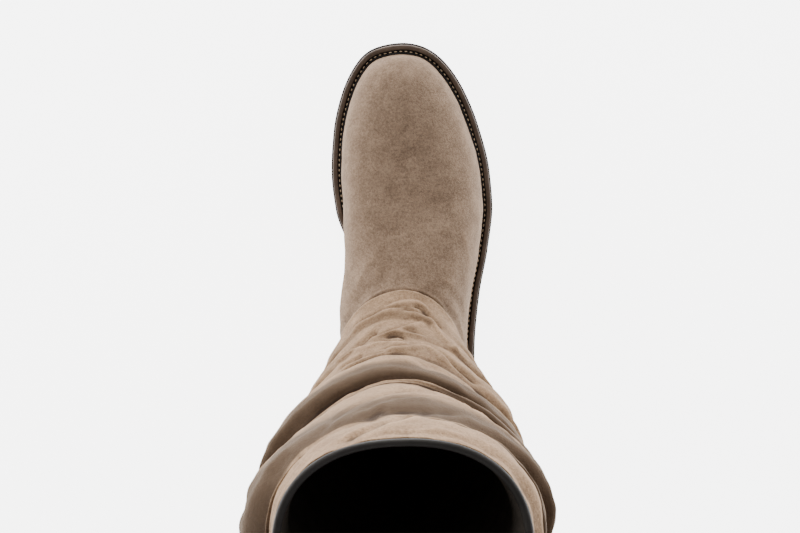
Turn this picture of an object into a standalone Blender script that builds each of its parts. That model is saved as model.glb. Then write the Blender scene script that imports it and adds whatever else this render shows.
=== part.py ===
"""Slouch boot for the right foot, standing empty on its sole.

The frame is +X to the outer side of the foot, +Y to the toe and +Z up, in metres.
The origin is the middle of the heel's resting face, on the floor.

The foot of the boot is lofted in columns. Each one rises from the feather line, where the
upper meets the welt, and ends on the ankle ring or on the crest of the vamp. The shaft is
lofted in rings from the ankle ring to the collar, with one band of rings for each fold.
"""

import math
from collections import namedtuple

import bmesh
import bpy
from mathutils import Vector

# Driving sizes of the sole
SOLE_LENGTH = 0.279
BALL_WIDTH = 0.103
HEEL_CENTRE = 0.031
HEEL_HEIGHT = 0.026
HEEL_LIFT = 0.006
HEEL_LENGTH = 0.060
HEEL_INSET = 0.0015
HEEL_TAPER = 0.0020
HEEL_CORNER = 0.0020
OUTSOLE_THICKNESS = 0.0055
OUTSOLE_ROUNDING = 0.0012
TOE_SPRING = 0.009
TREAD_DEPTH = 0.0014
TREAD_EDGE = 0.0030
TREAD_SLOPE = 0.0005
TREAD_START = 0.48
TREAD_END = 0.90
TREAD_STRIP = 0.0002
WELT_THICKNESS = 0.0034
WELT_STEP = 0.0010
WELT_REACH = 0.0070
INSOLE_THICKNESS = 0.0030

# Driving sizes of the upper and the shaft
WALL = 0.0022
TOE_BOX_HEIGHT = 0.044
TOE_BOX_DEPTH = 0.036
UPPER_HANG = 0.0120
ANKLE_FRONT = 0.134
ANKLE_BACK = 0.008
ANKLE_WIDTH = 0.084
ANKLE_FRONT_HEIGHT = 0.086
ANKLE_SIDE_DIP = 0.014
ANKLE_BACK_HEIGHT = 0.088
LEG_OFFSET = 0.0095
ANKLE_SIDE_OFFSET = 0.002
SHAFT_HEIGHT = 0.331
SHAFT_WIDTH = 0.138
SHAFT_DEPTH = 0.114
COLLAR_DIP = 0.004
FOLD_SWELL = 0.013
COUNTER_THICKNESS = 0.0014
BINDING_THICKNESS = 0.0018
BINDING_LIP = 0.0014

# Clearance between neighbouring pieces
GAP = 0.0003

# Shape of the columns of the foot, in shares of their height, width and overhang
UPRIGHT = 0.40
VAMP_UPRIGHT = 0.64
VAMP_FULLNESS = 0.62
COLUMN_LEAN = 0.10
HANG_AT_TOP = 0.35
VAMP_BLEND_START = 0.50
VAMP_BLEND_END = 1.06

# How finely the forms are cut
RING_COLUMNS = 18
VAMP_COLUMNS = 16
SIDE_COLUMNS = RING_COLUMNS + VAMP_COLUMNS
FOOT_ROWS = 9
COUNTER_ROWS = 4
COUNTER_COLUMNS = 13
STEP = 0.0005

# Outline of the sole: shares of its length from the heel back, and of the ball width.
# The last two columns say how far the upper hangs out over its feather line on each side.
Station = namedtuple("Station", "name along outer inner hang_outer hang_inner")
OUTLINE = (
    Station("heel back", 0.000, 0.000, 0.000, 0.70, 0.70),
    Station("heel corner", 0.030, 0.186, -0.184, 0.68, 0.68),
    Station("heel side", 0.100, 0.306, -0.303, 0.55, 0.65),
    Station("heel breast", 0.200, 0.340, -0.338, 0.45, 1.20),
    Station("waist", 0.310, 0.354, -0.335, 0.40, 2.50),
    Station("arch", 0.420, 0.396, -0.350, 0.30, 3.35),
    Station("behind the ball", 0.520, 0.461, -0.395, 0.20, 2.35),
    Station("ball, outer joint", 0.620, 0.500, -0.480, 0.15, 0.60),
    Station("ball, inner joint", 0.700, 0.488, -0.497, 0.15, 0.15),
    Station("little toe", 0.800, 0.430, -0.474, 0.15, 0.15),
    Station("toe box", 0.880, 0.352, -0.420, 0.15, 0.15),
    Station("toe corner", 0.945, 0.248, -0.335, 0.15, 0.15),
    Station("toe curve", 0.985, 0.126, -0.228, 0.15, 0.15),
    Station("toe tip", 1.000, -0.035, -0.035, 0.15, 0.15),
)

# Underside of the outsole: shares of the heel height and of the toe spring
Rise = namedtuple("Rise", "name along heel toe")
SOLE_LINE = (
    Rise("heel back", 0.00, 1.00, 0.00),
    Rise("heel breast", 0.23, 1.00, 0.00),
    Rise("waist", 0.31, 0.90, 0.00),
    Rise("arch", 0.42, 0.52, 0.00),
    Rise("behind the ball", 0.52, 0.13, 0.00),
    Rise("tread starts", 0.59, 0.00, 0.00),
    Rise("tread ends", 0.77, 0.00, 0.00),
    Rise("toe box", 0.86, 0.00, 0.20),
    Rise("toe corner", 0.94, 0.00, 0.60),
    Rise("toe tip", 1.00, 0.00, 1.00),
)

# Crest of the vamp from the ankle to the toe box: shares of the run, and of the drop
Crest = namedtuple("Crest", "name run drop")
VAMP_LINE = (
    Crest("ankle", 0.00, 0.00),
    Crest("instep", 0.16, 0.27),
    Crest("waist", 0.36, 0.54),
    Crest("ball", 0.60, 0.76),
    Crest("toe break", 0.80, 0.90),
    Crest("toe box", 1.00, 1.00),
)

# Plain form of the shaft: shares of its width, depth and rise, without the folds
Girth = namedtuple("Girth", "name rise width depth forward inward square")
SHAFT_LINE = (
    Girth("above the ankle", 0.08, 0.67, 1.04, 0.64, 1.11, 2.05),
    Girth("lower leg", 0.22, 0.80, 0.99, 0.34, 1.20, 1.95),
    Girth("slouch", 0.42, 0.94, 0.98, 0.06, 1.36, 1.70),
    Girth("upper leg", 0.68, 0.98, 0.99, 0.02, 1.36, 1.72),
    Girth("under the collar", 0.90, 0.94, 1.01, 0.12, 1.26, 2.20),
    Girth("collar", 1.00, 0.90, 1.01, 0.16, 1.17, 2.30),
)
SHAFT_BACK_SET = 0.0505

# Slouch folds, from the ankle up: where the crease under each one runs, as a share of the
# shaft's rise, and how far its ridge stands out, at the front, outer side, back and inner side
Fold = namedtuple("Fold", "name front outer back inner out_front out_outer out_back out_inner")
FOLDS = (
    Fold("ankle seam", 0.000, 0.00, 0.00, 0.00, 0.22, 0.30, 0.45, 0.40),
    Fold("instep fold", 0.090, 0.13, 0.15, 0.12, 0.20, 0.50, 0.60, 0.50),
    Fold("shin fold", 0.180, 0.24, 0.27, 0.25, 0.18, 0.75, 0.75, 0.60),
    Fold("great fold", 0.285, 0.37, 0.38, 0.36, 0.40, 0.56, 0.80, 1.00),
    Fold("side fold", 0.465, 0.52, 0.49, 0.53, 0.02, 0.78, 0.80, 0.40),
    Fold("overhang", 0.480, 0.63, 0.61, 0.62, 0.22, 0.95, 0.75, 1.05),
    Fold("upper fold", 0.800, 0.77, 0.76, 0.93, 0.02, 0.50, 0.60, 0.20),
    Fold("collar fold", 0.815, 0.85, 0.87, 0.95, 0.15, 0.35, 0.40, 0.06),
    Fold("hem", 0.965, 0.965, 0.965, 0.965, 0.00, 0.00, 0.00, 0.00),
)

# Rings of one fold, from the crease under it to the crease over it
Band = namedtuple("Band", "name share swell")
FOLD_BAND = (
    Band("crease", 0.00, -0.12),
    Band("under the ridge", 0.20, 0.54),
    Band("ridge", 0.52, 1.00),
    Band("shoulder", 0.77, 0.94),
    Band("tread", 0.93, 0.38),
)


def smooth(knots, values, at):
    """Monotone cubic curve through a table's column, so that a level stretch stays level."""
    at = min(max(at, knots[0]), knots[-1])
    steps = [b - a for a, b in zip(knots, knots[1:])]
    chords = [(b - a) / step for a, b, step in zip(values, values[1:], steps)]
    slopes = [chords[0]]
    for before, after in zip(chords, chords[1:]):
        slopes.append(2 * before * after / (before + after) if before * after > 0 else 0.0)
    slopes.append(chords[-1])
    i = max(0, min(len(steps) - 1, sum(1 for k in knots[1:] if k < at)))
    t = (at - knots[i]) / steps[i]
    start, end = values[i], values[i + 1]
    leave, arrive = slopes[i] * steps[i], slopes[i + 1] * steps[i]
    return (
        start * (1 + 2 * t) * (1 - t) ** 2
        + leave * t * (1 - t) ** 2
        + end * (3 - 2 * t) * t * t
        + arrive * (t - 1) * t * t
    )


def column(table, name):
    """One named column of a table as a list."""
    return [getattr(row, name) for row in table]


OUTLINE_TURNS = [math.acos(1 - 2 * row.along) / math.pi for row in OUTLINE]


def outline(turn):
    """Point of the outsole's edge in plan. Turn runs 0 heel, 1 toe, 2 heel, outer side first."""
    turn %= 2.0
    side = "outer" if turn <= 1 else "inner"
    share = turn if turn <= 1 else 2 - turn
    x = BALL_WIDTH * smooth(OUTLINE_TURNS, column(OUTLINE, side), share)
    y = SOLE_LENGTH * (1 - math.cos(math.pi * share)) / 2 - HEEL_CENTRE
    return Vector((x, y))


def edge(turn, inset):
    """Point of the outline moved inwards by inset."""
    run = outline(turn + STEP) - outline(turn - STEP)
    return outline(turn) + Vector((-run.y, run.x)).normalized() * inset


def underside(y):
    """Height of the outsole's underside at a place along the boot."""
    along = (y + HEEL_CENTRE) / SOLE_LENGTH
    knots = column(SOLE_LINE, "along")
    heel = smooth(knots, column(SOLE_LINE, "heel"), along)
    toe = smooth(knots, column(SOLE_LINE, "toe"), along)
    return HEEL_HEIGHT * heel + TOE_SPRING * toe


def seat(y):
    """Height of the surface that the welt, the insole and the upper sit on."""
    return underside(y) + OUTSOLE_THICKNESS + GAP


def outline_ring(inset, height):
    """Closed ring of points round the sole, at the height that a function of y gives."""
    ring = []
    for i in range(2 * SIDE_COLUMNS):
        plan = edge(i / SIDE_COLUMNS, inset)
        ring.append(Vector((plan.x, plan.y, height(plan.y))))
    return ring


def ankle_shift(angle):
    """How far the ankle ring lies towards the inner side of the foot."""
    return LEG_OFFSET + ANKLE_SIDE_OFFSET * math.sin(angle) ** 2


def ankle_point(angle):
    """Point of the ankle ring. Angle is 0 at the back and pi at the front, outer side first."""
    middle = (ANKLE_FRONT + ANKLE_BACK) / 2 - HEEL_CENTRE
    half_depth = (ANKLE_FRONT - ANKLE_BACK) / 2
    forward = (1 - math.cos(angle)) / 2
    height = ANKLE_BACK_HEIGHT + (ANKLE_FRONT_HEIGHT - ANKLE_BACK_HEIGHT) * forward
    return Vector(
        (
            ANKLE_WIDTH / 2 * math.sin(angle) - ankle_shift(angle),
            middle - half_depth * math.cos(angle),
            height - ANKLE_SIDE_DIP * math.sin(angle) ** 2,
        )
    )


def crest_point(run):
    """Point of the vamp's crest, from the ankle ring at 0 to the toe box at 1."""
    start = ankle_point(math.pi)
    toe = outline(1.0)
    end_y = toe.y - WELT_REACH - TOE_BOX_DEPTH
    end_z = seat(end_y) + TOE_BOX_HEIGHT
    drop = smooth(column(VAMP_LINE, "run"), column(VAMP_LINE, "drop"), run)
    return Vector(
        (
            start.x + (toe.x - start.x) * run,
            start.y + (end_y - start.y) * run,
            start.z + (end_z - start.z) * drop,
        )
    )


def crest_slope(run):
    """Rise of the crest for each metre towards the toe."""
    near = crest_point(max(0.0, run - STEP))
    far = crest_point(min(1.0, run + STEP))
    return (far.z - near.z) / (far.y - near.y)


def soft_step(start, end, at):
    """Smooth 0 to 1 between start and end."""
    t = min(max((at - start) / (end - start), 0.0), 1.0)
    return t * t * (3 - 2 * t)


def foot_column(index):
    """The four control points of one column of the foot, from the feather line up."""
    turn = index / SIDE_COLUMNS
    side_index = index if index <= SIDE_COLUMNS else 2 * SIDE_COLUMNS - index
    plan = edge(turn, WELT_REACH)
    low = Vector((plan.x, plan.y, seat(plan.y) + WELT_THICKNESS + 2 * GAP))
    outward = (plan - edge(turn, WELT_REACH + STEP)).normalized()
    outward = Vector((outward.x, outward.y, 0))
    if side_index <= RING_COLUMNS:
        angle = math.pi * side_index / RING_COLUMNS
        top = ankle_point(angle if index <= SIDE_COLUMNS else 2 * math.pi - angle)
        slope = crest_slope(0.0)
    else:
        run = (side_index - RING_COLUMNS) / VAMP_COLUMNS
        top = crest_point(run)
        slope = crest_slope(run)
    height = top.z - low.z
    over = soft_step(VAMP_BLEND_START, VAMP_BLEND_END, side_index / RING_COLUMNS)
    across = Vector((top.x - low.x, top.y - low.y, 0))
    across.z = slope * across.y
    leave = Vector((0, 0, height * (UPRIGHT + (VAMP_UPRIGHT - UPRIGHT) * over)))
    side = "hang_outer" if index <= SIDE_COLUMNS else "hang_inner"
    hang = smooth(OUTLINE_TURNS, column(OUTLINE, side), side_index / SIDE_COLUMNS)
    leave += outward * (UPPER_HANG * hang)
    upright = Vector((COLUMN_LEAN * across.x, COLUMN_LEAN * across.y, UPRIGHT * height))
    upright -= outward * (HANG_AT_TOP * UPPER_HANG * hang)
    arrive = upright * (1 - over) + across * (VAMP_FULLNESS * over)
    return low, low + leave, top - arrive, top


def along_column(points, t):
    """Point at share t of a cubic column."""
    a, b, c, d = points
    return a * (1 - t) ** 3 + b * (3 * t * (1 - t) ** 2) + c * (3 * t * t * (1 - t)) + d * t**3


def around(front, outer, back, inner, angle):
    """Value at an angle round the leg from its four cardinal values, joined smoothly."""
    mean = (front + outer + back + inner) / 4
    twist = (front + back - outer - inner) / 4
    return (
        mean
        + (back - front) / 2 * math.cos(angle)
        + (outer - inner) / 2 * math.sin(angle)
        + twist * math.cos(2 * angle)
    )


def shaft_point(angle, rise, swell):
    """Point of the shaft at a share of its rise, standing out by swell from its plain form."""
    ring = ankle_point(angle)
    knots = [0.0] + column(SHAFT_LINE, "rise")
    half_depth = (ANKLE_FRONT - ANKLE_BACK) / 2
    middle = (ANKLE_FRONT + ANKLE_BACK) / 2 - HEEL_CENTRE
    shaft_middle = SHAFT_BACK_SET - HEEL_CENTRE

    def size(name, scale, first, base=0.0):
        return smooth(knots, [first] + [base + scale * v for v in column(SHAFT_LINE, name)], rise)

    wide = size("width", SHAFT_WIDTH / 2, ANKLE_WIDTH / 2) + swell
    deep = size("depth", SHAFT_DEPTH / 2, half_depth) + swell
    ahead = size("forward", middle - shaft_middle, middle, shaft_middle)
    inward = size("inward", LEG_OFFSET, ankle_shift(angle))
    square = size("square", 1.0, 2.0)
    across, along = math.sin(angle), -math.cos(angle)
    x = wide * math.copysign(abs(across) ** (2 / square), across) - inward
    y = deep * math.copysign(abs(along) ** (2 / square), along) + ahead
    top = SHAFT_HEIGHT - COLLAR_DIP * across * across
    return Vector((x, y, ring.z + GAP + (top - ring.z - GAP) * rise))


def fold_line(fold, angle):
    """How high the crease under a fold runs, as a share of the shaft's rise."""
    return around(fold.front, fold.outer, fold.back, fold.inner, angle)


def fold_swell(fold, angle):
    """How far a fold's ridge stands out, in metres."""
    share = around(fold.out_front, fold.out_outer, fold.out_back, fold.out_inner, angle)
    return FOLD_SWELL * share


def shaft_rows():
    """Rings of the folded part of the shaft: the fold, the one over it and the ring's band."""
    return [(lower, upper, band) for lower, upper in zip(FOLDS, FOLDS[1:]) for band in FOLD_BAND]


def shaft_row_point(row, angle):
    """Point of one ring of the shaft."""
    lower, upper, band = row
    low, high = fold_line(lower, angle), fold_line(upper, angle)
    swell = max(fold_swell(lower, angle), 0.0) * band.swell
    if lower is FOLDS[0] and band.swell < 0:
        swell = 0.0
    return shaft_point(angle, low + (high - low) * band.share, swell)


def foot_names():
    """Number of each point of the foot's skin, by its column and its row."""
    names, found = {}, {}
    for index in range(2 * SIDE_COLUMNS):
        side_index = min(index, 2 * SIDE_COLUMNS - index)
        for row in range(FOOT_ROWS + 2):
            on_crest = row == FOOT_ROWS + 1 and side_index >= RING_COLUMNS
            spot = (side_index if on_crest else index, row)
            names[index, row] = found.setdefault(spot, len(found))
    return names


def foot_surface():
    """Points and faces of the foot's outer skin, joined along the crest of the vamp."""
    names = foot_names()
    count = 2 * SIDE_COLUMNS
    points = [None] * (max(names.values()) + 1)
    for index in range(count):
        control = foot_column(index)
        for row in range(FOOT_ROWS + 2):
            point = along_column(control, max(0, row - 1) / FOOT_ROWS)
            if row == 0:
                point = point - Vector((0, 0, WELT_THICKNESS + 2 * GAP))
            points[names[index, row]] = point
    faces = []
    for index in range(count):
        after = (index + 1) % count
        for row in range(FOOT_ROWS + 1):
            corners = [names[index, row], names[after, row]]
            corners += [names[after, row + 1], names[index, row + 1]]
            faces.append(list(dict.fromkeys(corners)))
    return points, faces


def grid_surface(rows):
    """Points and faces of a stack of closed rings, each one counter-clockwise and higher."""
    count = len(rows[0])
    points = [p for row in rows for p in row]
    faces = []
    for r in range(len(rows) - 1):
        for i in range(count):
            j = (i + 1) % count
            faces.append([r * count + i, r * count + j, (r + 1) * count + j, (r + 1) * count + i])
    return points, faces


def moved_in(surface, depth):
    """Points of an open surface moved in by an even depth along their normals."""
    points, faces = surface
    skin = bmesh.new()
    verts = [skin.verts.new(p) for p in points]
    for face in faces:
        skin.faces.new([verts[c] for c in face])
    skin.normal_update()
    moved = [v.co - v.normal * depth * v.calc_shell_factor() for v in verts]
    skin.free()
    return moved


def material(name, colour, roughness):
    """Principled material in one colour."""
    made = bpy.data.materials.new(name)
    made.use_nodes = True
    shader = made.node_tree.nodes["Principled BSDF"]
    shader.inputs["Base Color"].default_value = (*colour, 1.0)
    shader.inputs["Roughness"].default_value = roughness
    return made


def add_object(name, points, faces, finish):
    """Mesh object in the scene with its material, shaded smooth up to its sharp edges."""
    mesh = bpy.data.meshes.new(name)
    mesh.from_pydata([tuple(p) for p in points], [], faces)
    mesh.validate()
    made = bpy.data.objects.new(name, mesh)
    bpy.context.scene.collection.objects.link(made)
    mesh.materials.append(finish)
    mesh.shade_smooth()
    mesh.set_sharp_from_angle(angle=math.radians(40))
    return made


def add_shell(name, outer, inner, faces, finish):
    """Closed shell between two skins that share the same faces."""
    count = len(outer)
    sides = [(a, b) for face in faces for a, b in zip(face, face[1:] + face[:1])]
    known = set(sides)
    walls = [[c + count for c in reversed(face)] for face in faces]
    walls += [[b, a, a + count, b + count] for a, b in sides if (b, a) not in known]
    return add_object(name, list(outer) + list(inner), faces + walls, finish)


def level_wall(surface, thickness):
    """Inner skin of an even wall, with its rims at the height of the outer rims."""
    points, faces = surface
    inner = moved_in(surface, thickness)
    sides = [(a, b) for face in faces for a, b in zip(face, face[1:] + face[:1])]
    known = set(sides)
    for a, b in sides:
        if (b, a) not in known:
            inner[a].z = points[a].z
            inner[b].z = points[b].z
    return inner


def add_slab(name, rings, finish):
    """Solid between stacked rings, capped across from the outer side to the inner side."""
    points, faces = grid_surface(rings)
    count = len(rings[0])
    half = count // 2
    for base, up in ((0, False), ((len(rings) - 1) * count, True)):
        for i in range(half):
            cap = [i, i + 1, (count - i - 1) % count, (count - i) % count]
            cap = [base + c for c in dict.fromkeys(cap)]
            faces.append(cap if up else cap[::-1])
    return add_object(name, points, faces, finish)


def add_hoop(name, rings, finish):
    """Solid hoop whose section runs through the rings and back to the first one."""
    points, faces = grid_surface(rings + rings[:1])
    count = len(rings[0])
    total = count * len(rings)
    faces = [[c % total for c in face] for face in faces]
    return add_object(name, points[:total], faces, finish)


def build_outsole(finish):
    """Rubber outsole with arch, toe spring and a rounded lower edge."""

    def top(y):
        return underside(y) + OUTSOLE_THICKNESS

    def edge_line(y):
        return underside(y) + OUTSOLE_ROUNDING

    rings = [
        outline_ring(OUTSOLE_ROUNDING, underside),
        outline_ring(0.0, edge_line),
        outline_ring(0.0, top),
    ]
    made = add_slab("outsole", rings, finish)
    cut_tread(made.data)
    return made


def cut_tread(mesh):
    """Grooves across the forefoot, between flat bars of tread."""
    skin = bmesh.new()
    skin.from_mesh(mesh)
    skin.normal_update()
    start, end = TREAD_START * SOLE_LENGTH - HEEL_CENTRE, TREAD_END * SOLE_LENGTH - HEEL_CENTRE
    strips = [f for f in skin.faces if f.normal.z < -0.8 and len(f.verts) == 4]
    strips = [f for f in strips if start < f.calc_center_median().y < end and f.calc_area() > TREAD_STRIP]
    strips.sort(key=lambda f: f.calc_center_median().y)
    grooves = strips[::2]
    bmesh.ops.inset_individual(skin, faces=grooves, thickness=TREAD_EDGE, depth=0.0)
    bmesh.ops.inset_individual(skin, faces=grooves, thickness=TREAD_SLOPE, depth=-TREAD_DEPTH)
    skin.to_mesh(mesh)
    skin.free()


def heel_ring(inset, height, setback):
    """Ring round the heel: the sole's outline, closed straight across at the breast."""
    breast = HEEL_LENGTH - HEEL_CENTRE - setback
    behind = [i for i in range(SIDE_COLUMNS) if edge(i / SIDE_COLUMNS, inset).y < breast - HEEL_CORNER]
    last = behind[-1]
    turns = [i / SIDE_COLUMNS for i in range(-last, last + 1)]
    ring = [Vector((*edge(turn, inset), height)) for turn in turns]
    outer, inner = ring[-1], ring[0]
    return [Vector((inner.x, breast, height))] + ring + [Vector((outer.x, breast, height))]


def build_heel(name, low, high, inset_low, inset_high, finish):
    """One block of the heel, with the same columns as its neighbour."""
    rings = [
        heel_ring(inset_low, low, inset_low),
        heel_ring(inset_high, high, inset_high),
    ]
    points, faces = grid_surface(rings)
    count = len(rings[0])
    faces.append(list(range(count))[::-1])
    faces.append(list(range(count, 2 * count)))
    return add_object(name, points, faces, finish)


def build_welt(finish):
    """Welt round the whole sole, a step in from the outsole's edge."""

    def bottom(y):
        return seat(y)

    def top(y):
        return seat(y) + WELT_THICKNESS

    inner = WELT_REACH - GAP
    rings = [
        outline_ring(WELT_STEP, bottom),
        outline_ring(WELT_STEP, top),
        outline_ring(inner, top),
        outline_ring(inner, bottom),
    ]
    return add_hoop("welt", rings, finish)


def build_insole(finish):
    """Insole board inside the upper, on the outsole."""
    inset = WELT_REACH + WALL + GAP

    def top(y):
        return seat(y) + INSOLE_THICKNESS

    return add_slab("insole", [outline_ring(inset, seat), outline_ring(inset, top)], finish)


def build_upper(finish):
    """Foot of the upper: one hollow wall, open at the ankle and under the foot."""
    surface = foot_surface()
    return add_shell("upper", surface[0], level_wall(surface, WALL), surface[1], finish)


def shaft_surface():
    """Points and faces of the shaft's outer skin."""
    angles = [math.pi * i / RING_COLUMNS for i in range(2 * RING_COLUMNS)]
    rows = [[shaft_row_point(row, a) for a in angles] for row in shaft_rows()]
    rows.append([shaft_point(a, FOLDS[-1].front, 0.0) for a in angles])
    rows.append([shaft_point(a, 1.0, 0.0) for a in angles])
    return grid_surface(rows)


def build_shaft(finish):
    """Slouched shaft from the ankle seam to the collar, open at both ends."""
    surface = shaft_surface()
    return add_shell("shaft", surface[0], level_wall(surface, WALL), surface[1], finish)


def build_binding(finish):
    """Leather binding over the collar's rim and down inside it."""
    surface = shaft_surface()
    count = 2 * RING_COLUMNS
    rim = len(surface[0]) - count
    inner = WALL + GAP
    deep = inner + BINDING_THICKNESS
    section = (
        (inner, rim - count, 0.0),
        (inner, rim, GAP),
        (0.0, rim, GAP),
        (0.3 * BINDING_THICKNESS, rim, GAP + BINDING_LIP),
        (inner + 0.6 * BINDING_THICKNESS, rim, GAP + BINDING_LIP),
        (deep, rim, 0.5 * GAP),
        (deep, rim - count, 0.0),
    )
    rings = []
    for depth, base, height in section:
        moved = moved_in(surface, depth)[base : base + count]
        flat = surface[0][base : base + count]
        rings.append([Vector((p.x, p.y, q.z + height)) for p, q in zip(moved, flat)])
    return add_hoop("collar_binding", rings, finish)


def build_counter(finish):
    """Heel counter over the back of the upper, with its front ends cut on a slant."""
    surface = foot_surface()
    key = foot_names()
    top_row = {}
    for i in range(-COUNTER_COLUMNS, COUNTER_COLUMNS + 1):
        top_row[i] = min(COUNTER_ROWS, COUNTER_COLUMNS - abs(i))
    names, faces = {}, []
    for i in range(-COUNTER_COLUMNS, COUNTER_COLUMNS):
        for row in range(max(top_row[i], top_row[i + 1])):
            corners = [(i, row), (i + 1, row), (i + 1, row + 1), (i, row + 1)]
            corners = [c for c in corners if c[1] <= top_row[c[0]]]
            faces.append([names.setdefault(c, len(names)) for c in corners])

    def skin(stand):
        moved = moved_in(surface, -stand)
        points = []
        for i, row in names:
            here = key[i % (2 * SIDE_COLUMNS), row + 1]
            point = moved[here]
            if row == 0:
                climb = moved[key[i % (2 * SIDE_COLUMNS), 2]] - point
                point = point + climb * ((surface[0][here].z + GAP - point.z) / climb.z)
            points.append(point)
        return points

    return add_shell("counter", skin(GAP + COUNTER_THICKNESS), skin(GAP), faces, finish)


def main():
    for old in list(bpy.data.objects):
        bpy.data.objects.remove(old)
    suede = material("suede", (0.34, 0.25, 0.18), 0.92)
    welt_leather = material("welt_leather", (0.035, 0.026, 0.022), 0.55)
    rubber = material("sole_rubber", (0.028, 0.022, 0.020), 0.60)
    heel_stack = material("heel_stack", (0.040, 0.030, 0.026), 0.55)
    lining = material("lining_leather", (0.020, 0.020, 0.022), 0.45)
    board = material("insole_board", (0.024, 0.022, 0.021), 0.70)

    build_outsole(rubber)
    build_heel("heel_lift", 0.0, HEEL_LIFT, HEEL_INSET + HEEL_TAPER, HEEL_INSET + HEEL_TAPER, rubber)
    heel_top = HEEL_HEIGHT - GAP
    build_heel("heel", HEEL_LIFT + GAP, heel_top, HEEL_INSET + HEEL_TAPER, HEEL_INSET, heel_stack)
    build_welt(welt_leather)
    build_insole(board)
    build_upper(suede)
    build_counter(suede)
    build_shaft(suede)
    build_binding(lining)


main()
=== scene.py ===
import math
from collections import namedtuple
from functools import lru_cache

import bpy
import numpy as np
from mathutils import Matrix, Vector, noise


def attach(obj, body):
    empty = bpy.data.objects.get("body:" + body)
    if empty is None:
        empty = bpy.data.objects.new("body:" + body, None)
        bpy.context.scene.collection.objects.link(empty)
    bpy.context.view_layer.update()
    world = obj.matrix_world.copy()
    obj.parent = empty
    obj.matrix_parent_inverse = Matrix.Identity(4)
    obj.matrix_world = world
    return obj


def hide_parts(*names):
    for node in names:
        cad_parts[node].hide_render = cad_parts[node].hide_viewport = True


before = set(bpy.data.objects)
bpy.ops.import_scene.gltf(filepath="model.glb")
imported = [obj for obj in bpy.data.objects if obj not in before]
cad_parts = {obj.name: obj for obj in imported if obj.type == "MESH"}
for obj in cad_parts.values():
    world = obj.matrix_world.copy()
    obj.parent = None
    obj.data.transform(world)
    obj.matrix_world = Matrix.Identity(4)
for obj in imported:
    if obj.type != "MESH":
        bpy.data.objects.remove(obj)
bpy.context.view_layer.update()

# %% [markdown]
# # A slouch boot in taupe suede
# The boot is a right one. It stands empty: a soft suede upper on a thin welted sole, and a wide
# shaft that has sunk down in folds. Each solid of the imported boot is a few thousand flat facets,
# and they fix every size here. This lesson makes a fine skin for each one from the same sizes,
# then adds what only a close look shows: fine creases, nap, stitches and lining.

# %% [markdown]
# ## The sizes of the boot
# All lengths are in metres, with +X to the outer side of the foot, +Y to the toe and +Z up.
# They are the sizes of the solids. The tables hold shares of these sizes, one row for each
# station along the sole, the vamp or the shaft.

# %% Sizes
SOLE_LENGTH = 0.279
BALL_WIDTH = 0.103
HEEL_CENTRE = 0.031
HEEL_HEIGHT = 0.026
HEEL_LIFT = 0.006
HEEL_LENGTH = 0.060
HEEL_INSET = 0.0015
HEEL_TAPER = 0.0020
OUTSOLE_THICKNESS = 0.0055
TOE_SPRING = 0.009
WELT_THICKNESS = 0.0034
WELT_REACH = 0.0070
WALL = 0.0022
SUEDE = 0.0009
TOE_BOX_HEIGHT = 0.044
TOE_BOX_DEPTH = 0.036
UPPER_HANG = 0.0120
ANKLE_FRONT = 0.134
ANKLE_BACK = 0.008
ANKLE_WIDTH = 0.084
ANKLE_FRONT_HEIGHT = 0.086
ANKLE_SIDE_DIP = 0.014
ANKLE_BACK_HEIGHT = 0.088
LEG_OFFSET = 0.0095
ANKLE_SIDE_OFFSET = 0.002
SHAFT_HEIGHT = 0.331
SHAFT_WIDTH = 0.138
SHAFT_DEPTH = 0.114
SHAFT_BACK_SET = 0.0505
COLLAR_DIP = 0.004
FOLD_SWELL = 0.013
COUNTER_THICKNESS = 0.0014
GAP = 0.0003

UPRIGHT = 0.40
VAMP_UPRIGHT = 0.64
VAMP_FULLNESS = 0.62
COLUMN_LEAN = 0.10
HANG_AT_TOP = 0.35
VAMP_BLEND_START = 0.50
VAMP_BLEND_END = 1.06

RING_COLUMNS = 18
VAMP_COLUMNS = 16
SIDE_COLUMNS = RING_COLUMNS + VAMP_COLUMNS
FOOT_ROWS = 9
COUNTER_ROWS = 4
COUNTER_COLUMNS = 13
STEP = 0.0005


def table(columns, *rows):
    """Rows of a table whose columns have names."""
    row_of = namedtuple("Row", columns)
    return tuple(row_of(*row) for row in rows)


OUTLINE = table(
    "name along outer inner hang_outer hang_inner",
    ("heel back", 0.000, 0.000, 0.000, 0.70, 0.70),
    ("heel corner", 0.030, 0.186, -0.184, 0.68, 0.68),
    ("heel side", 0.100, 0.306, -0.303, 0.55, 0.65),
    ("heel breast", 0.200, 0.340, -0.338, 0.45, 1.20),
    ("waist", 0.310, 0.354, -0.335, 0.40, 2.50),
    ("arch", 0.420, 0.396, -0.350, 0.30, 3.35),
    ("behind the ball", 0.520, 0.461, -0.395, 0.20, 2.35),
    ("ball, outer joint", 0.620, 0.500, -0.480, 0.15, 0.60),
    ("ball, inner joint", 0.700, 0.488, -0.497, 0.15, 0.15),
    ("little toe", 0.800, 0.430, -0.474, 0.15, 0.15),
    ("toe box", 0.880, 0.352, -0.420, 0.15, 0.15),
    ("toe corner", 0.945, 0.248, -0.335, 0.15, 0.15),
    ("toe curve", 0.985, 0.126, -0.228, 0.15, 0.15),
    ("toe tip", 1.000, -0.035, -0.035, 0.15, 0.15),
)
SOLE_LINE = table(
    "name along heel toe",
    ("heel back", 0.00, 1.00, 0.00),
    ("heel breast", 0.23, 1.00, 0.00),
    ("waist", 0.31, 0.90, 0.00),
    ("arch", 0.42, 0.52, 0.00),
    ("behind the ball", 0.52, 0.13, 0.00),
    ("tread starts", 0.59, 0.00, 0.00),
    ("tread ends", 0.77, 0.00, 0.00),
    ("toe box", 0.86, 0.00, 0.20),
    ("toe corner", 0.94, 0.00, 0.60),
    ("toe tip", 1.00, 0.00, 1.00),
)
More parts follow.
